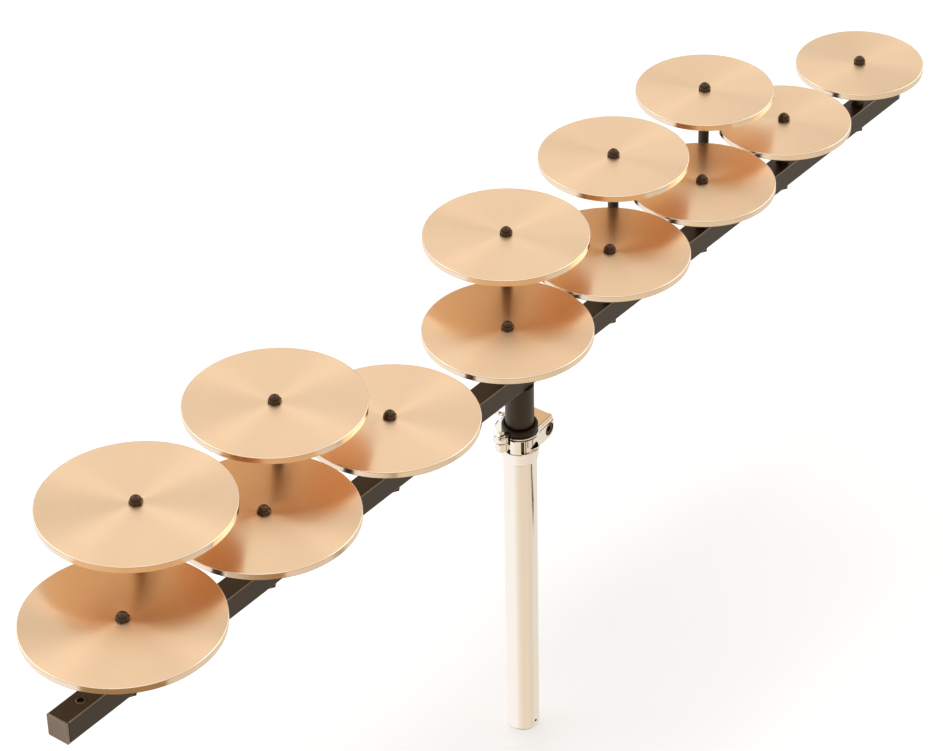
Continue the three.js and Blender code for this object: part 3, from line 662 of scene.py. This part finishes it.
class CROTALES_OT_posts(bpy.types.Operator):
    """Short posts of the naturals with their screws under the bar"""

    bl_idname = "crotales.posts"
    bl_label = "Short posts"

    def execute(self, context):
        for note in NATURALS:
            node = f"post_{note}"
            low, high = levels_of(node)
            tip = high - low
            shoulder = tip - STUD_LENGTH
            foot = [(0, 0), (POST_RADIUS, 0), (POST_RADIUS, shoulder)]
            bm = spun(foot + stud_end(shoulder, tip), SMALL_STEPS)
            rounded(bm, rings_at(bm, foot[1:]), SMALL_ROUND, 2)
            name = f"short_post_{note}"
            piece(name, bm, "satin_black_paint", "black_paint", "rack", node, at=seat_of(node))
            self.under_screw(note)
        return {"FINISHED"}

    def under_screw(self, note):
        """A hexagon screw and washer, or under the mast a headless one."""
        node = f"post_screw_{note}"
        low, high = levels_of(node)
        tip = high - low
        if note == "f":
            bm = rod(SHANK_RADIUS, 0, tip, SCREW_STEPS)
        else:
            washer_low = SCREW_HEAD - 0.2
            washer = spun(
                [
                    (0, washer_low), (WASHER_RADIUS, washer_low), (WASHER_RADIUS, WASHER_TOP),
                    (0, WASHER_TOP),
                ],
                SMALL_STEPS,
            )
            rounded(washer, rings_at(washer, [(WASHER_RADIUS, washer_low)]), 0.3, 2)
            shank = rod(SHANK_RADIUS, WASHER_TOP - 0.4, tip, SCREW_STEPS)
            bm = carved(hexagon(SCREW_CORNER, 0.0, SCREW_HEAD), joined=[washer, shank])
            sharp = [
                e
                for e in bm.edges
                if e.is_convex
                and max(v.co.z for v in e.verts) < 0.1 * MM
                and e.calc_face_angle(0) > 1.0
            ]
            rounded(bm, sharp, 0.5, 2)
        name = f"under_screw_{note}"
        piece(name, bm, "black_oxide_steel", "black_nut", "rack", node, at=seat_of(node))


class CROTALES_OT_rods(bpy.types.Operator):
    """Tall bent rods that carry the sharps behind the bar"""

    bl_idname = "crotales.rods"
    bl_label = "Tall rods"

    def execute(self, context):
        for note in SHARPS:
            low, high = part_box(f"rod_{note}")
            level = low.z / MM + ROD_RADIUS
            back = high.y / MM - ROD_RADIUS
            tip = high.z / MM
            bm = self.bent(low.y, back, level, tip - STUD_LENGTH)
            stud_low = tip - STUD_LENGTH - 1
            stud = spun([(0, stud_low), *stud_end(stud_low, tip)], SCREW_STEPS)
            bm = carved(bm, joined=[moved(stud, Matrix.Translation((0, back * MM, 0)))])
            piece(
                f"tall_rod_{note}", bm, "satin_black_paint", "black_paint", "rack", f"rod_{note}",
                at=((low.x + high.x) / 2, 0, 0),
            )
        return {"FINISHED"}

    def bent(self, start, back, level, shoulder):
        """A round rod that leaves the bar level, bends and stands up to its shoulder."""
        bm = bmesh.new()
        facing = Matrix.Rotation(QUARTER_TURN, 4, "X")
        bmesh.ops.create_circle(
            bm, cap_ends=False, segments=SCREW_STEPS, radius=ROD_RADIUS * MM,
            matrix=Matrix.Translation((0, start, level * MM)) @ facing,
        )
        ring = self.pushed(bm, bm.edges[:], (0, (back - ROD_BEND) * MM - start, 0))
        turned = bmesh.ops.spin(
            bm, geom=ring + list({v for e in ring for v in e.verts}),
            cent=(0, (back - ROD_BEND) * MM, (level + ROD_BEND) * MM), axis=(1, 0, 0),
            angle=QUARTER_TURN, steps=20,
        )["geom_last"]
        ring = [g for g in turned if isinstance(g, bmesh.types.BMEdge)]
        self.pushed(bm, ring, (0, 0, (shoulder - level - ROD_BEND) * MM))
        bmesh.ops.holes_fill(bm, edges=bm.edges, sides=0)
        bmesh.ops.recalc_face_normals(bm, faces=bm.faces)
        return bm

    def pushed(self, bm, ring, vector):
        """Draws a ring of edges out along a vector and gives the ring at the new end."""
        grown = bmesh.ops.extrude_edge_only(bm, edges=ring)["geom"]
        points = {g for g in grown if isinstance(g, bmesh.types.BMVert)}
        bmesh.ops.translate(bm, verts=list(points), vec=vector)
        edges = [g for g in grown if isinstance(g, bmesh.types.BMEdge)]
        return [e for e in edges if points.issuperset(e.verts)]


class CROTALES_OT_bar(bpy.types.Operator):
    """Square bar with rounded edges, end plates and their socket screws"""

    bl_idname = "crotales.bar"
    bl_label = "Bar and end plates"

    def execute(self, context):
        edge = context.scene.crotales_stand.edge_round / MM
        low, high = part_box("bar")
        section = high.z - low.z
        bm = slab(tuple(low / MM), tuple(high / MM))
        lengthwise = [e for e in bm.edges if abs(e.verts[0].co.x - e.verts[1].co.x) > section]
        # The bar's long edges take the lighter edge finish: rubbed paint and a painted highlight
        rounded(bm, lengthwise, edge, edge_slot=1)
        top = high.z / MM
        rings = []
        for side in ("low", "high"):
            middle = seat_of(f"plug_screw_{side}") / MM
            centre = (middle.x, middle.y)
            bottom = top - SCREW_RING_DEPTH
            rings.append(rod(SCREW_RING_RADIUS, bottom, top + 2, SMALL_STEPS, centre))
        bm = carved(bm, cut=rings)
        finishes = "satin_black_paint rubbed_paint_edge"
        piece("square_bar", bm, finishes, "black_paint", "rack", "bar")
        for side, inward in (("low", 1), ("high", -1)):
            self.end_plate(side, inward, low / MM, high / MM)
            self.socket_screw(side)
        return {"FINISHED"}

    def end_plate(self, side, inward, bar_low, bar_high):
        """A plate as wide and high as the bar on the bar's end."""
        node = f"end_plug_{side}"
        low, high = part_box(node)
        outer = (low.x if inward > 0 else high.x) / MM
        left, right = sorted((outer, outer + inward * END_PLATE))
        # The plate's edges take the lighter edge finish: rubbed paint and a painted highlight
        bm = slab(
            (left, bar_low.y, bar_low.z), (right, bar_high.y, bar_high.z), SMALL_ROUND, edge_slot=1
        )
        finishes = "grey_end_plate rubbed_paint_edge"
        piece(f"end_plate_{side}", bm, finishes, "black_paint", "rack", node)

    def socket_screw(self, side):
        """A socket screw whose head stands in its ring on the bar's top."""
        node = f"plug_screw_{side}"
        middle = seat_of(node)
        top = levels_of(node)[1]
        head = rod(SOCKET_HEAD_RADIUS, top - SOCKET_HEAD, top)
        # The head's top edge takes the lighter edge finish, a painted highlight
        rounded(head, rings_at(head, [(SOCKET_HEAD_RADIUS, top)]), 0.5, 2, edge_slot=1)
        socket = hexagon(SOCKET_CORNER, top - SOCKET_DEPTH, top + SOCKET_DEPTH)
        bm = carved(head, cut=[socket])
        piece(
            f"socket_screw_{side}", bm, "black_oxide_steel rubbed_paint_edge", "black_nut", "rack",
            node, at=(middle.x, middle.y, 0),
        )


class CROTALES_OT_mast(bpy.types.Operator):
    """Black mast that slides in the chromed stand tube"""

    bl_idname = "crotales.mast"
    bl_label = "Mast and stand tube"

    def execute(self, context):
        self.mast()
        self.tube()
        return {"FINISHED"}

    def mast(self):
        """A tube with a thick top, whose short stub goes into the bar."""
        low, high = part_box("mast")
        foot = low.z / MM
        radius = high.x / MM
        bore = radius - MAST_WALL
        stub_top = high.z / MM
        top = stub_top - MAST_CAP
        bm = spun(
            [
                (0, top - 4), (bore, top - 4), (bore, foot), (radius, foot), (radius, top),
                (MAST_STUB_RADIUS, top), (MAST_STUB_RADIUS, stub_top), (0, stub_top),
            ],
            TUBE_STEPS,
        )
        piece("mast_tube", bm, "satin_black_paint", "black_paint", "rack", "mast")

    def tube(self):
        """The chromed tube: a rounded foot, an eased top and a small cross hole near the foot."""
        low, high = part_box("stand_tube")
        radius = high.x / MM
        bore = radius - TUBE_WALL
        top = high.z / MM
        bm = spun([(bore, 0), (radius, 0), (radius, top), (bore, top)], DISC_STEPS, closed=True)
        rounded(bm, rings_at(bm, [(radius, 0)]), 1.0, 4)
        rounded(bm, rings_at(bm, [(radius, top)]), 0.3, 2)
        drill = rod(DRILL_RADIUS, 0, radius + 2, SCREW_STEPS)
        facing = Matrix.Rotation(QUARTER_TURN, 4, "X")
        moved(drill, Matrix.Translation((0, 0, DRILL_HEIGHT * MM)) @ facing)
        bm = carved(bm, cut=[drill])
        piece("chromed_tube", bm, "bright_chrome_plating", "chrome", "stand", "stand_tube")


class CROTALES_OT_clamp(bpy.types.Operator):
    """Chromed height clamp: collar, hinged strap, pin, bolt, wing nut and nylon bushing"""

    bl_idname = "crotales.clamp"
    bl_label = "Height clamp"

    def execute(self, context):
        self.bushing()
        self.collar()
        self.strap()
        self.pin()
        self.bolt()
        self.wing_nut()
        return {"FINISHED"}

    def on_bolt(self, bm, back):
        """Lays a shape that stands on +Z along the bolt, at a depth behind the mast's axis."""
        shift = Matrix.Translation((BOLT_ALONG * MM, back * MM, BOLT_HEIGHT * MM))
        return self.on_strap(moved(bm, shift @ Matrix.Rotation(-QUARTER_TURN, 4, "X")))

    def on_strap(self, bm):
        """Turns a shape to the angle at which the strap and the lug stand."""
        return moved(bm, Matrix.Rotation(math.radians(STRAP_TURN), 4, "Z"))

    def softened(self, bm, offset, least=40):
        """Rounds every outer edge that is sharper than an angle."""
        limit = math.radians(least)
        sharp = [e for e in bm.edges if e.is_convex and e.calc_face_angle(0) > limit]
        return rounded(bm, sharp, offset, clamp=True)

    def bushing(self):
        """A sleeve between mast and collar, with a rounded rim on the collar's top."""
        foot, top = levels_of("clamp_bushing")
        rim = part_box("clamp_bushing")[1].x / MM
        bore, sleeve, rim_low = 10.5, 12.3, COLLAR_TOP + 0.3
        bm = spun(
            [
                (bore, foot), (sleeve, foot), (sleeve, rim_low), (rim, rim_low), (rim, top - 1.0),
                (rim - 0.3, top - 0.3), (rim - 0.9, top), (bore + 0.5, top), (bore, top - 0.5),
            ],
            TUBE_STEPS,
            closed=True,
        )
        piece(
            "clamp_bushing_sleeve", bm, "moulded_black_nylon", "black_nylon", "bushing",
            "clamp_bushing", crease=25,
        )

    def collar(self):
        """The fixed half: skirt on the tube, thick back, lug and upper knuckle."""
        skirt = spun(
            [
                (12.2, 245.5), (12.5, 245.5), (12.65, 245.6), (12.72, 245.8), (12.75, 246.0),
                (13.9, 254.8), (14.0, 255.6), (13.8, 256.2), (11.4, 256.2), (11.4, 254.8),
                (12.2, 254.8),
            ],
            TUBE_STEPS,
            closed=True,
        )
        # The wall behind the bushing, then the thick back with its eased edges
        wall = swept(
            [
                (12.45, 254.5), (COLLAR_RADIUS, 254.5), (COLLAR_RADIUS, COLLAR_TOP),
                (12.45, COLLAR_TOP),
            ],
            start=0,
            end=176,
            steps=88,
        )
        back_top = COLLAR_TOP - 0.02
        back = swept(
            [
                (13.4, COLLAR_BOTTOM), (BACK_RADIUS - 3.0, COLLAR_BOTTOM),
                (BACK_RADIUS - 1.0, COLLAR_BOTTOM + 1.2), (BACK_RADIUS, COLLAR_BOTTOM + 4.0),
                (BACK_RADIUS, COLLAR_TOP - 1.6), (BACK_RADIUS - 0.5, COLLAR_TOP - 0.6),
                (BACK_RADIUS - 1.6, back_top), (13.4, back_top),
            ],
            start=20,
            end=163,
            steps=72,
        )
        upper = rod(KNUCKLE_RADIUS, 266.9, 271.2, SMALL_STEPS, HINGE)
        self.softened(upper, 0.6)
        bm = carved(
            skirt,
            joined=[wall, back, self.lug(), upper],
            cut=[
                rod(COLLAR_BORE, 256.3, 280, TUBE_STEPS),
                rod(13.2, COLLAR_TOP + 0.05, 280, TUBE_STEPS),
                rod(KNUCKLE_RADIUS + KNUCKLE_GAP, 259.7, 267.0, WIDE_STEPS, HINGE),
                self.on_bolt(rod(4.2, -30, 30), 0), rod(PIN_HOLE_RADIUS, 266.5, 280, 40, HINGE),
            ],
        )
        piece(
            "clamp_collar", bm, "bright_chrome_plating", "chrome", "stand", "clamp_body", crease=25
        )

    def lug(self):
        """The block for the bolt beside the collar, whose top rises towards the back."""
        front = -(EAR_BACK - 0.7)
        outline = [(6.0, front), (27.0, front), (26.2, LUG_BACK), (7.0, LUG_BACK)]
        bm = raised(outline, EAR_BOTTOM, COLLAR_TOP)
        for vert in bm.verts:
            if vert.co.z > 260 * MM:
                vert.co.z += 0.085 * (vert.co.y - 4.0 * MM)
        self.softened(bm, 0.8)
        return self.on_strap(bm)

    def strap(self):
        """The hinged half: a pad, a ribbed window, a thin rolled rim and the ear for the bolt."""
        parts = [self.on_strap(bm) for bm in (self.pad(), self.web(), self.rim(), self.ear())]
        knuckle = rod(KNUCKLE_RADIUS, 260.0, 266.7, SMALL_STEPS, HINGE)
        self.softened(knuckle, 0.4)
        tab = swept(
            [(12.2, 260.3), (COLLAR_RADIUS, 260.3), (COLLAR_RADIUS, 263.9), (12.2, 263.9)],
            start=180, end=191.7, steps=8,
        )
        recess = rod(BOLT_HEAD_RADIUS + 0.4, -30, 0, WIDE_STEPS)
        # The bolt's recess shows the darker finish inside, as painted shade
        holes = [
            dull_and_shaded(self.on_bolt(recess, BOLT_SINK - EAR_FRONT)),
            self.on_bolt(rod(SHANK_RADIUS + 0.4, -30, 0), 0),
            rod(PIN_HOLE_RADIUS, 250, 280, SCREW_STEPS, HINGE),
            rod(COLLAR_BORE, 250, 280, TUBE_STEPS),
        ]
        bm = carved(
            parts[0], joined=[*parts[1:], knuckle, tab],
            cut=[self.on_strap(bm) for bm in self.strap_cuts()] + holes,
        )
        piece(
            "clamp_strap", bm, "bright_chrome_plating dull_plated_recess", "chrome", "jaw",
            "clamp_jaw", crease=25,
        )

    def rim(self):
        """The rolled rim along the strap's top, over a groove in the darker finish, which paints
        the shade under the rim.
        """
        bm = swept(
            [
                (11.9, 267.4), (13.9, 267.4), (13.7, 268.5), (14.35, 268.9), (14.65, 269.4),
                (14.35, 269.85), (13.9, COLLAR_TOP), (13.1, COLLAR_TOP), (11.9, COLLAR_TOP - 0.8),
            ],
            start=186.3,
            end=270.3,
            steps=WIDE_STEPS,
        )
        for face in bm.faces:
            middle = face.calc_center_median()
            # Faces in the groove under the rim take the darker finish, as painted shade
            in_shaded_groove = middle.xy.length > 13.6 * MM and middle.z < 268.8 * MM
            face.material_index = int(in_shaded_groove)
        return bm

    def pad(self):
        """The smooth thick part of the strap beside the hinge."""
        return swept(
            [
                (12.0, COLLAR_BOTTOM), (14.2, COLLAR_BOTTOM), (14.5, COLLAR_BOTTOM + 0.4),
                (14.5, 267.5), (14.2, 267.8), (12.0, 267.8),
            ],
            start=186,
            end=218,
            steps=24,
        )

    def web(self):
        """The thinner part of the strap between pad and ear, with a ledge at its foot."""
        return swept(
            [
                (11.8, COLLAR_BOTTOM - 0.2), (14.9, COLLAR_BOTTOM - 0.2),
                (15.3, COLLAR_BOTTOM + 0.2), (15.2, COLLAR_BOTTOM + 0.8),
                (14.3, COLLAR_BOTTOM + 1.1), (14.25, 267.9), (11.8, 267.9),
            ],
            start=217.5,
            end=270.6,
            steps=40,
        )

    def ear(self):
        """The flat ear for the bolt, round at its lower corner, its inner side on the bushing."""
        inner = 12.1
        reach = [(inner * math.sin(a), -inner * math.cos(a)) for a in (0.45, 0.3, 0.15, 0.0)]
        plan = [
            (0.0, -14.2), (3.5, -13.75), (6.5, -EAR_FRONT), (EAR_END, -EAR_FRONT),
            (EAR_END, -EAR_BACK), (6.8, -EAR_BACK),
        ]
        bm = raised(plan + reach, EAR_BOTTOM, COLLAR_TOP - 0.05)

        def on_corner(vert):
            off_end = abs(vert.co.x - EAR_END * MM)
            return off_end < SAME and abs(vert.co.z - EAR_BOTTOM * MM) < SAME

        rounded(bm, [e for e in bm.edges if all(map(on_corner, e.verts))], EAR_ROUND, 12)
        return self.softened(bm, 0.5)

    def strap_cuts(self):
        """The step under the ledge, the window's three parts, the pocket and the ear's groove."""
        step = slab((-2.0, -20.0, 250.0), (9.5, -5.0, COLLAR_BOTTOM - 0.25))
        # The window's parts, the pocket and the ear's groove show the darker finish inside, as
        # painted shade
        window = []
        for start, end, low, high, depth in (
            (216.4, 225.8, 257.6, 267.6, 13.3),
            (228.9, 231.6, 257.9, 268.2, 13.5),
            (235.2, 237.4, 262.0, 268.2, 13.5),
        ):
            section = [(depth, low), (16.5, low), (16.5, high), (depth, high)]
            window.append(dull_and_shaded(swept(section, start, end, steps=8)))
        outline = [(-6.6, -260.3), (2.6, -257.9), (2.2, -260.6), (-0.3, -264.2), (-1.6, -264.4)]
        facing = Matrix.Rotation(QUARTER_TURN, 4, "X") @ Matrix.Scale(-1, 4, (0, 1, 0))
        pocket = dull_and_shaded(moved(raised(outline, 0, 30), facing))
        bmesh.ops.recalc_face_normals(pocket, faces=pocket.faces)
        groove = dull_and_shaded(slab((4.0, -14.6, 267.95), (24.0, -12.5, 268.75)))
        return [step, *window, pocket, groove]

    def pin(self):
        """The hinge pin with its domed head."""
        top = levels_of("clamp_hinge_pin")[1]
        bm = spun(
            [
                (0, 260.0), (1.9, 260.0), (1.9, 271.5), (3.1, 271.5), (3.4, 271.8), (3.35, 272.3),
                (2.7, top - 0.25), (1.6, top), (1.1, top - 0.1), (0.8, top - 0.8), (0, top - 0.9),
            ],
            SMALL_STEPS,
        )
        at = (HINGE[0] * MM, HINGE[1] * MM, 0)
        node = "clamp_hinge_pin"
        piece("hinge_pin", bm, "bright_chrome_plating", "chrome", "stand", node, at=at)

    def bolt(self):
        """A black socket screw sunk in the ear, its shank through the lug; its black head is
        painted shade for the recess it sits in.
        """
        head = BOLT_SINK - EAR_FRONT
        tail = LUG_BACK + 10.0 - head
        shape = spun(
            [
                (0, tail), (SHANK_RADIUS, tail), (SHANK_RADIUS, 0.5), (BOLT_HEAD_RADIUS, 0.5),
                (BOLT_HEAD_RADIUS, -0.3), (BOLT_HEAD_RADIUS - 0.3, -0.6), (0, -0.6),
            ],
            SMALL_STEPS,
        )
        moved(shape, Matrix.Translation((0, 0, -0.35 * MM)))
        bm = self.on_bolt(carved(shape, cut=[hexagon(2.4, -3.0, 1.6)]), head)
        piece("clamp_screw", bm, "black_oxide_steel", "black_nut", "jaw", "clamp_bolt")

    def wing_nut(self):
        """A cast wing nut: a tapered hub between two wings with full tips."""
        hub = spun([(0, 0), (4.7, 0), (5.0, 0.4), (4.2, 6.4), (3.7, 7.0), (0, 7.0)], SMALL_STEPS)
        half = [
            (3.0, 1.4), (7.5, 3.2), (12.2, 6.2), (13.3, 7.4), (13.5, 9.4), (13.0, 11.0),
            (11.6, 11.5), (8.6, 10.2), (5.6, 7.6), (3.0, 6.2),
        ]
        outline = half + [(-x, z) for x, z in reversed(half)]
        flat = [(x, -z) for x, z in outline]
        wings = raised(flat, -WING_THICKNESS / 2, WING_THICKNESS / 2)
        self.softened(wings, 0.7, least=60)
        moved(wings, Matrix.Rotation(-QUARTER_TURN, 4, "X"))
        bm = carved(hub, joined=[wings], cut=[rod(SHANK_RADIUS + 0.3, -5, 20, SCREW_STEPS)])
        moved(bm, Matrix.Rotation(math.radians(WING_TURN), 4, "Z"))
        piece(
            "wing_nut", self.on_bolt(bm, LUG_BACK + 1.3), "bright_chrome_plating", "chrome",
            "wing_nut", "clamp_wing_nut", crease=35,
        )


class CROTALES_OT_studio(bpy.types.Operator):
    """Pale floor, soft light and the camera at the photograph's place"""

    bl_idname = "crotales.studio"
    bl_label = "Studio"

    def execute(self, context):
        scene = context.scene
        studio = scene.crotales_studio
        scene.view_settings.view_transform = "Standard"
        self.floor()
        # A wall round the lowest disc, 300 mm from its axis and 60 to 262 mm high
        section = [(300, 60), (303, 60), (303, 262), (300, 262)]
        wall = swept(section, start=-183.1, end=-96.3, steps=24)
        disc = seat_of("crotale_c_low")
        moved(wall, Matrix.Translation((disc.x, disc.y, 0)))
        self.card("rim_card", studio.rim_card_colour, wall)
        leaning = self.slanted_card(
            width=0.2, height=0.13, bearing=-57.0, distance=1.0, middle=-0.528, slant=-3.4
        )
        self.card("tube_card", studio.card_colour, leaning)
        self.sky(scene)
        self.key_light(scene)
        self.camera(scene)
        return {"FINISHED"}

    def floor(self):
        """A round floor that bright metal doesn't mirror."""
        bm = bmesh.new()
        bmesh.ops.create_circle(bm, cap_ends=True, segments=TUBE_STEPS, radius=FLOOR_RADIUS)
        floor_material()
        made = linked("floor", bm, "pale_studio_paper")
        made.visible_glossy = False

    def card(self, name, colour, bm):
        """A studio card that only mirror-like surfaces see."""
        tree = new_material(name)
        tone = add(tree, "ShaderNodeEmission", {"Color": linear(colour), "Strength": 1.0})
        add(tree, "ShaderNodeOutputMaterial", {"Surface": tone.outputs["Emission"]})
        made = linked(name, bm, name)
        made.visible_camera = False
        made.visible_diffuse = False
        made.visible_shadow = False

    def slanted_card(self, width, height, bearing, distance, middle, slant):
        """A leaning upright card whose reflection runs down the chromed tube."""
        bm = bmesh.new()
        bmesh.ops.create_grid(bm, x_segments=1, y_segments=1, size=0.5)
        bmesh.ops.scale(bm, vec=(width, height, 1.0), verts=bm.verts)
        lean = Matrix.Identity(4)
        lean[0][1] = slant
        facing = Matrix.Rotation(math.radians(bearing + 90), 4, "Z")
        upright = facing @ Matrix.Rotation(QUARTER_TURN, 4, "X")
        away = Vector((math.cos(math.radians(bearing)), math.sin(math.radians(bearing)), 0.0))
        shift = Matrix.Translation(away * distance + Vector((0, 0, middle)))
        return moved(bm, shift @ upright @ lean)

    def mirrored_room(self, tree, way):
        """The room in bright metal: white paper and lights, a dark horizon, gaps between lights."""
        studio = bpy.context.scene.crotales_studio
        split = add(tree, "ShaderNodeSeparateXYZ", {"Vector": way})
        height = add(tree, "ShaderNodeMapRange", {"Value": split.outputs["Z"], "From Min": -1.0})
        levels = add(tree, "ShaderNodeValToRGB", {"Fac": height.outputs["Result"]})
        dark = linear(studio.card_colour)
        # From straight down at 0, past the horizon at 0.5, to straight up at 1
        first, last = levels.color_ramp.elements
        first.position, first.color = 0.03, dark
        last.position, last.color = 0.6, WHITE
        for position, colour in ((0.07, WHITE), (0.42, WHITE), (0.46, dark), (0.54, dark)):
            levels.color_ramp.elements.new(position).color = colour
        tone = levels.outputs["Color"]
        # Direction, where each tint starts and is full as the cosine to it, and the tint
        tints = [
            ((-0.52, -0.854, 0.0), 0.2, 0.85, studio.room_colour),
            ((0.8, -0.29, -0.52), 0.35, 0.85, studio.side_colour),
        ]
        for bearing in GAP_BEARINGS:
            towards = self.aimed(bearing, GAP_ELEVATION)
            tints.append((towards, 0.976, 0.996, studio.gap_colour))
        for towards, edge, core, colour in tints:
            share = self.patch(tree, way, towards, edge, core, 0.0, 1.0)
            tone = self.times(tree, tone, ramp_of(tree, share, 0.0, 1.0, WHITE, linear(colour)))
        lights = [((0.0, 0.0, 1.0), 0.97, 0.99, studio.ceiling_strength)]
        for bearing in LIGHT_BEARINGS:
            towards = self.aimed(bearing, LIGHT_ELEVATION)
            lights.append((towards, 0.88, 0.97, studio.side_strength))
        for towards, edge, core, strength in lights:
            tone = self.times(tree, tone, self.patch(tree, way, towards, edge, core, 1.0, strength))
        return tone

    def aimed(self, bearing, elevation):
        """A direction from a bearing and an elevation in degrees."""
        towards = Vector((1, 0, 0))
        towards.rotate(Euler((0, math.radians(-elevation), math.radians(bearing))))
        return tuple(towards)

    def patch(self, tree, way, towards, edge, core, outside, inside):
        """One value away from a direction, and another where the view comes close to it."""
        near = add(tree, "ShaderNodeVectorMath", {0: way, 1: towards}, operation="DOT_PRODUCT")
        return add(
            tree,
            "ShaderNodeMapRange",
            {
                "Value": near.outputs["Value"], "From Min": edge, "From Max": core,
                "To Min": outside, "To Max": inside,
            },
            interpolation_type="SMOOTHSTEP",
        ).outputs["Result"]

    def times(self, tree, tone, share):
        """Two tones multiplied."""
        product = add(tree, "ShaderNodeVectorMath", {0: tone, 1: share}, operation="MULTIPLY")
        return product.outputs["Vector"]

    def sky(self, scene):
        """Even light from all round, plain white to the eye and a furnished room in metal."""
        studio = scene.crotales_studio
        world = bpy.data.worlds.new("studio_sky")
        world.use_nodes = True
        tree = world.node_tree
        tree.nodes.clear()
        path = add(tree, "ShaderNodeLightPath")
        way = add(tree, "ShaderNodeTexCoord").outputs["Generated"]
        # The node's colour sockets share their names with hidden ones, so they go by place
        factor, seen, mirrored, result = 0, 6, 7, 2
        tone = add(
            tree,
            "ShaderNodeMix",
            {
                factor: path.outputs["Is Glossy Ray"], seen: WHITE,
                mirrored: self.mirrored_room(tree, way),
            },
            data_type="RGBA",
        )
        strength = seen_white(tree, 1.0, studio.sky_strength)
        glow = add(
            tree, "ShaderNodeBackground", {"Color": tone.outputs[result], "Strength": strength}
        )
        add(tree, "ShaderNodeOutputWorld", {"Surface": glow.outputs["Background"]})
        scene.world = world

    def key_light(self, scene):
        """One wide soft light over the bar, which bright metal doesn't mirror."""
        lamp = bpy.data.lights.new("softbox", "AREA")
        lamp.shape = "RECTANGLE"
        lamp.size, lamp.size_y = SOFTBOX_SIZE
        lamp.energy = scene.crotales_studio.key_power
        made = bpy.data.objects.new("softbox", lamp)
        made.location = SOFTBOX_PLACE
        made.visible_glossy = False
        scene.collection.objects.link(made)

    def camera(self, scene):
        """The camera that the outlines of the thirteen discs were fitted to."""
        yaw, pitch, roll = (math.radians(angle) for angle in CAMERA_ANGLES)
        reach = math.cos(pitch)
        forward = Vector((math.sin(yaw) * reach, math.cos(yaw) * reach, -math.sin(pitch)))
        level = Vector((math.cos(yaw), -math.sin(yaw), 0.0))
        upright = level.cross(forward)
        right = math.cos(roll) * level + math.sin(roll) * upright
        up = math.cos(roll) * upright - math.sin(roll) * level
        data = bpy.data.cameras.new("camera")
        data.sensor_width = SENSOR_WIDTH
        data.lens = CAMERA_FOCUS * SENSOR_WIDTH / IMAGE_WIDTH
        data.shift_x, data.shift_y = (pixels / IMAGE_WIDTH for pixels in CAMERA_SHIFT)
        data.clip_end = 50.0
        made = bpy.data.objects.new("camera", data)
        turn = Matrix((right, up, -forward)).transposed()
        made.matrix_world = Matrix.Translation(CAMERA_PLACE) @ turn.to_4x4()
        scene.collection.objects.link(made)
        scene.camera = made


class CROTALES_PT_panel(bpy.types.Panel):
    bl_idname = "CROTALES_PT_panel"
    bl_label = "Crotales"
    bl_space_type = "VIEW_3D"
    bl_region_type = "UI"
    bl_category = "Crotales"

    def draw(self, context):
        for operator in OPERATORS:
            self.layout.operator(operator.bl_idname)


OPERATORS = (
    CROTALES_OT_discs,
    CROTALES_OT_nuts,
    CROTALES_OT_posts,
    CROTALES_OT_rods,
    CROTALES_OT_bar,
    CROTALES_OT_mast,
    CROTALES_OT_clamp,
    CROTALES_OT_studio,
)
SETTINGS = {
    "crotales_disc": DiscSettings,
    "crotales_stand": StandSettings,
    "crotales_studio": StudioSettings,
}


def register():
    for group in SETTINGS.values():
        bpy.utils.register_class(group)
    for kind in OPERATORS + (CROTALES_PT_panel,):
        bpy.utils.register_class(kind)
    for name, group in SETTINGS.items():
        setattr(bpy.types.Scene, name, bpy.props.PointerProperty(type=group))


def unregister():
    for name in SETTINGS:
        delattr(bpy.types.Scene, name)
    for kind in reversed(tuple(SETTINGS.values()) + OPERATORS + (CROTALES_PT_panel,)):
        bpy.utils.unregister_class(kind)


def make_materials():
    """Every finish of the set, made once and shared by its pieces."""
    stand = bpy.context.scene.crotales_stand
    bronze_material()
    rim_material()
    chrome_material()
    # Cast recesses that the plating dulls, darkened as painted shade: uneven warm grey metal with a
    # 1 mm grain
    coat_material("dull_plated_recess", stand.recess_shade_colour, 0.42, 1.0 * MM, 0.2, metal=1.0)
    # Baked satin paint: brown-black with soft highlights and a faint orange peel of 1.5 mm
    coat_material("satin_black_paint", stand.paint_colour, 0.38, 1.5 * MM, 0.12, level=0.6)
    # Oiled black oxide on steel: a glossy brown-black metal with a fine grain of 0.8 mm
    coat_material("black_oxide_steel", stand.oxide_colour, 0.17, 0.8 * MM, 0.06, metal=0.8)
    # Paint rubbed thin along the edges, with a painted highlight along them: lighter and smoother
    # than the satin coat
    coat_material(
        "rubbed_paint_edge", stand.rubbed_edge_highlight_colour, 0.34, 1.0 * MM, 0.1, metal=0.4, glint=WHITE
    )
    # Moulded end plate: greyer and lighter than the bar, matt with a 1 mm grain
    coat_material("grey_end_plate", stand.plate_colour, 0.5, 1.0 * MM, 0.15)
    # Moulded nylon: near black and softly matt, with a fine 0.7 mm grain
    coat_material("moulded_black_nylon", stand.nylon_colour, 0.36, 0.7 * MM, 0.08, level=0.4)


def main():
    register()
    make_materials()
    for operator in OPERATORS:
        group, name = operator.bl_idname.split(".")
        getattr(getattr(bpy.ops, group), name)()
    # Every CAD node has a piece over it; one that still showed would have its real finish
    for name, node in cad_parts.items():
        if node.hide_render:
            continue
        finish = "moulded_black_nylon" if name == "clamp_bushing" else "bright_chrome_plating"
        node.material_slots[0].material = bpy.data.materials[finish]


if __name__ == "__main__":
    main()
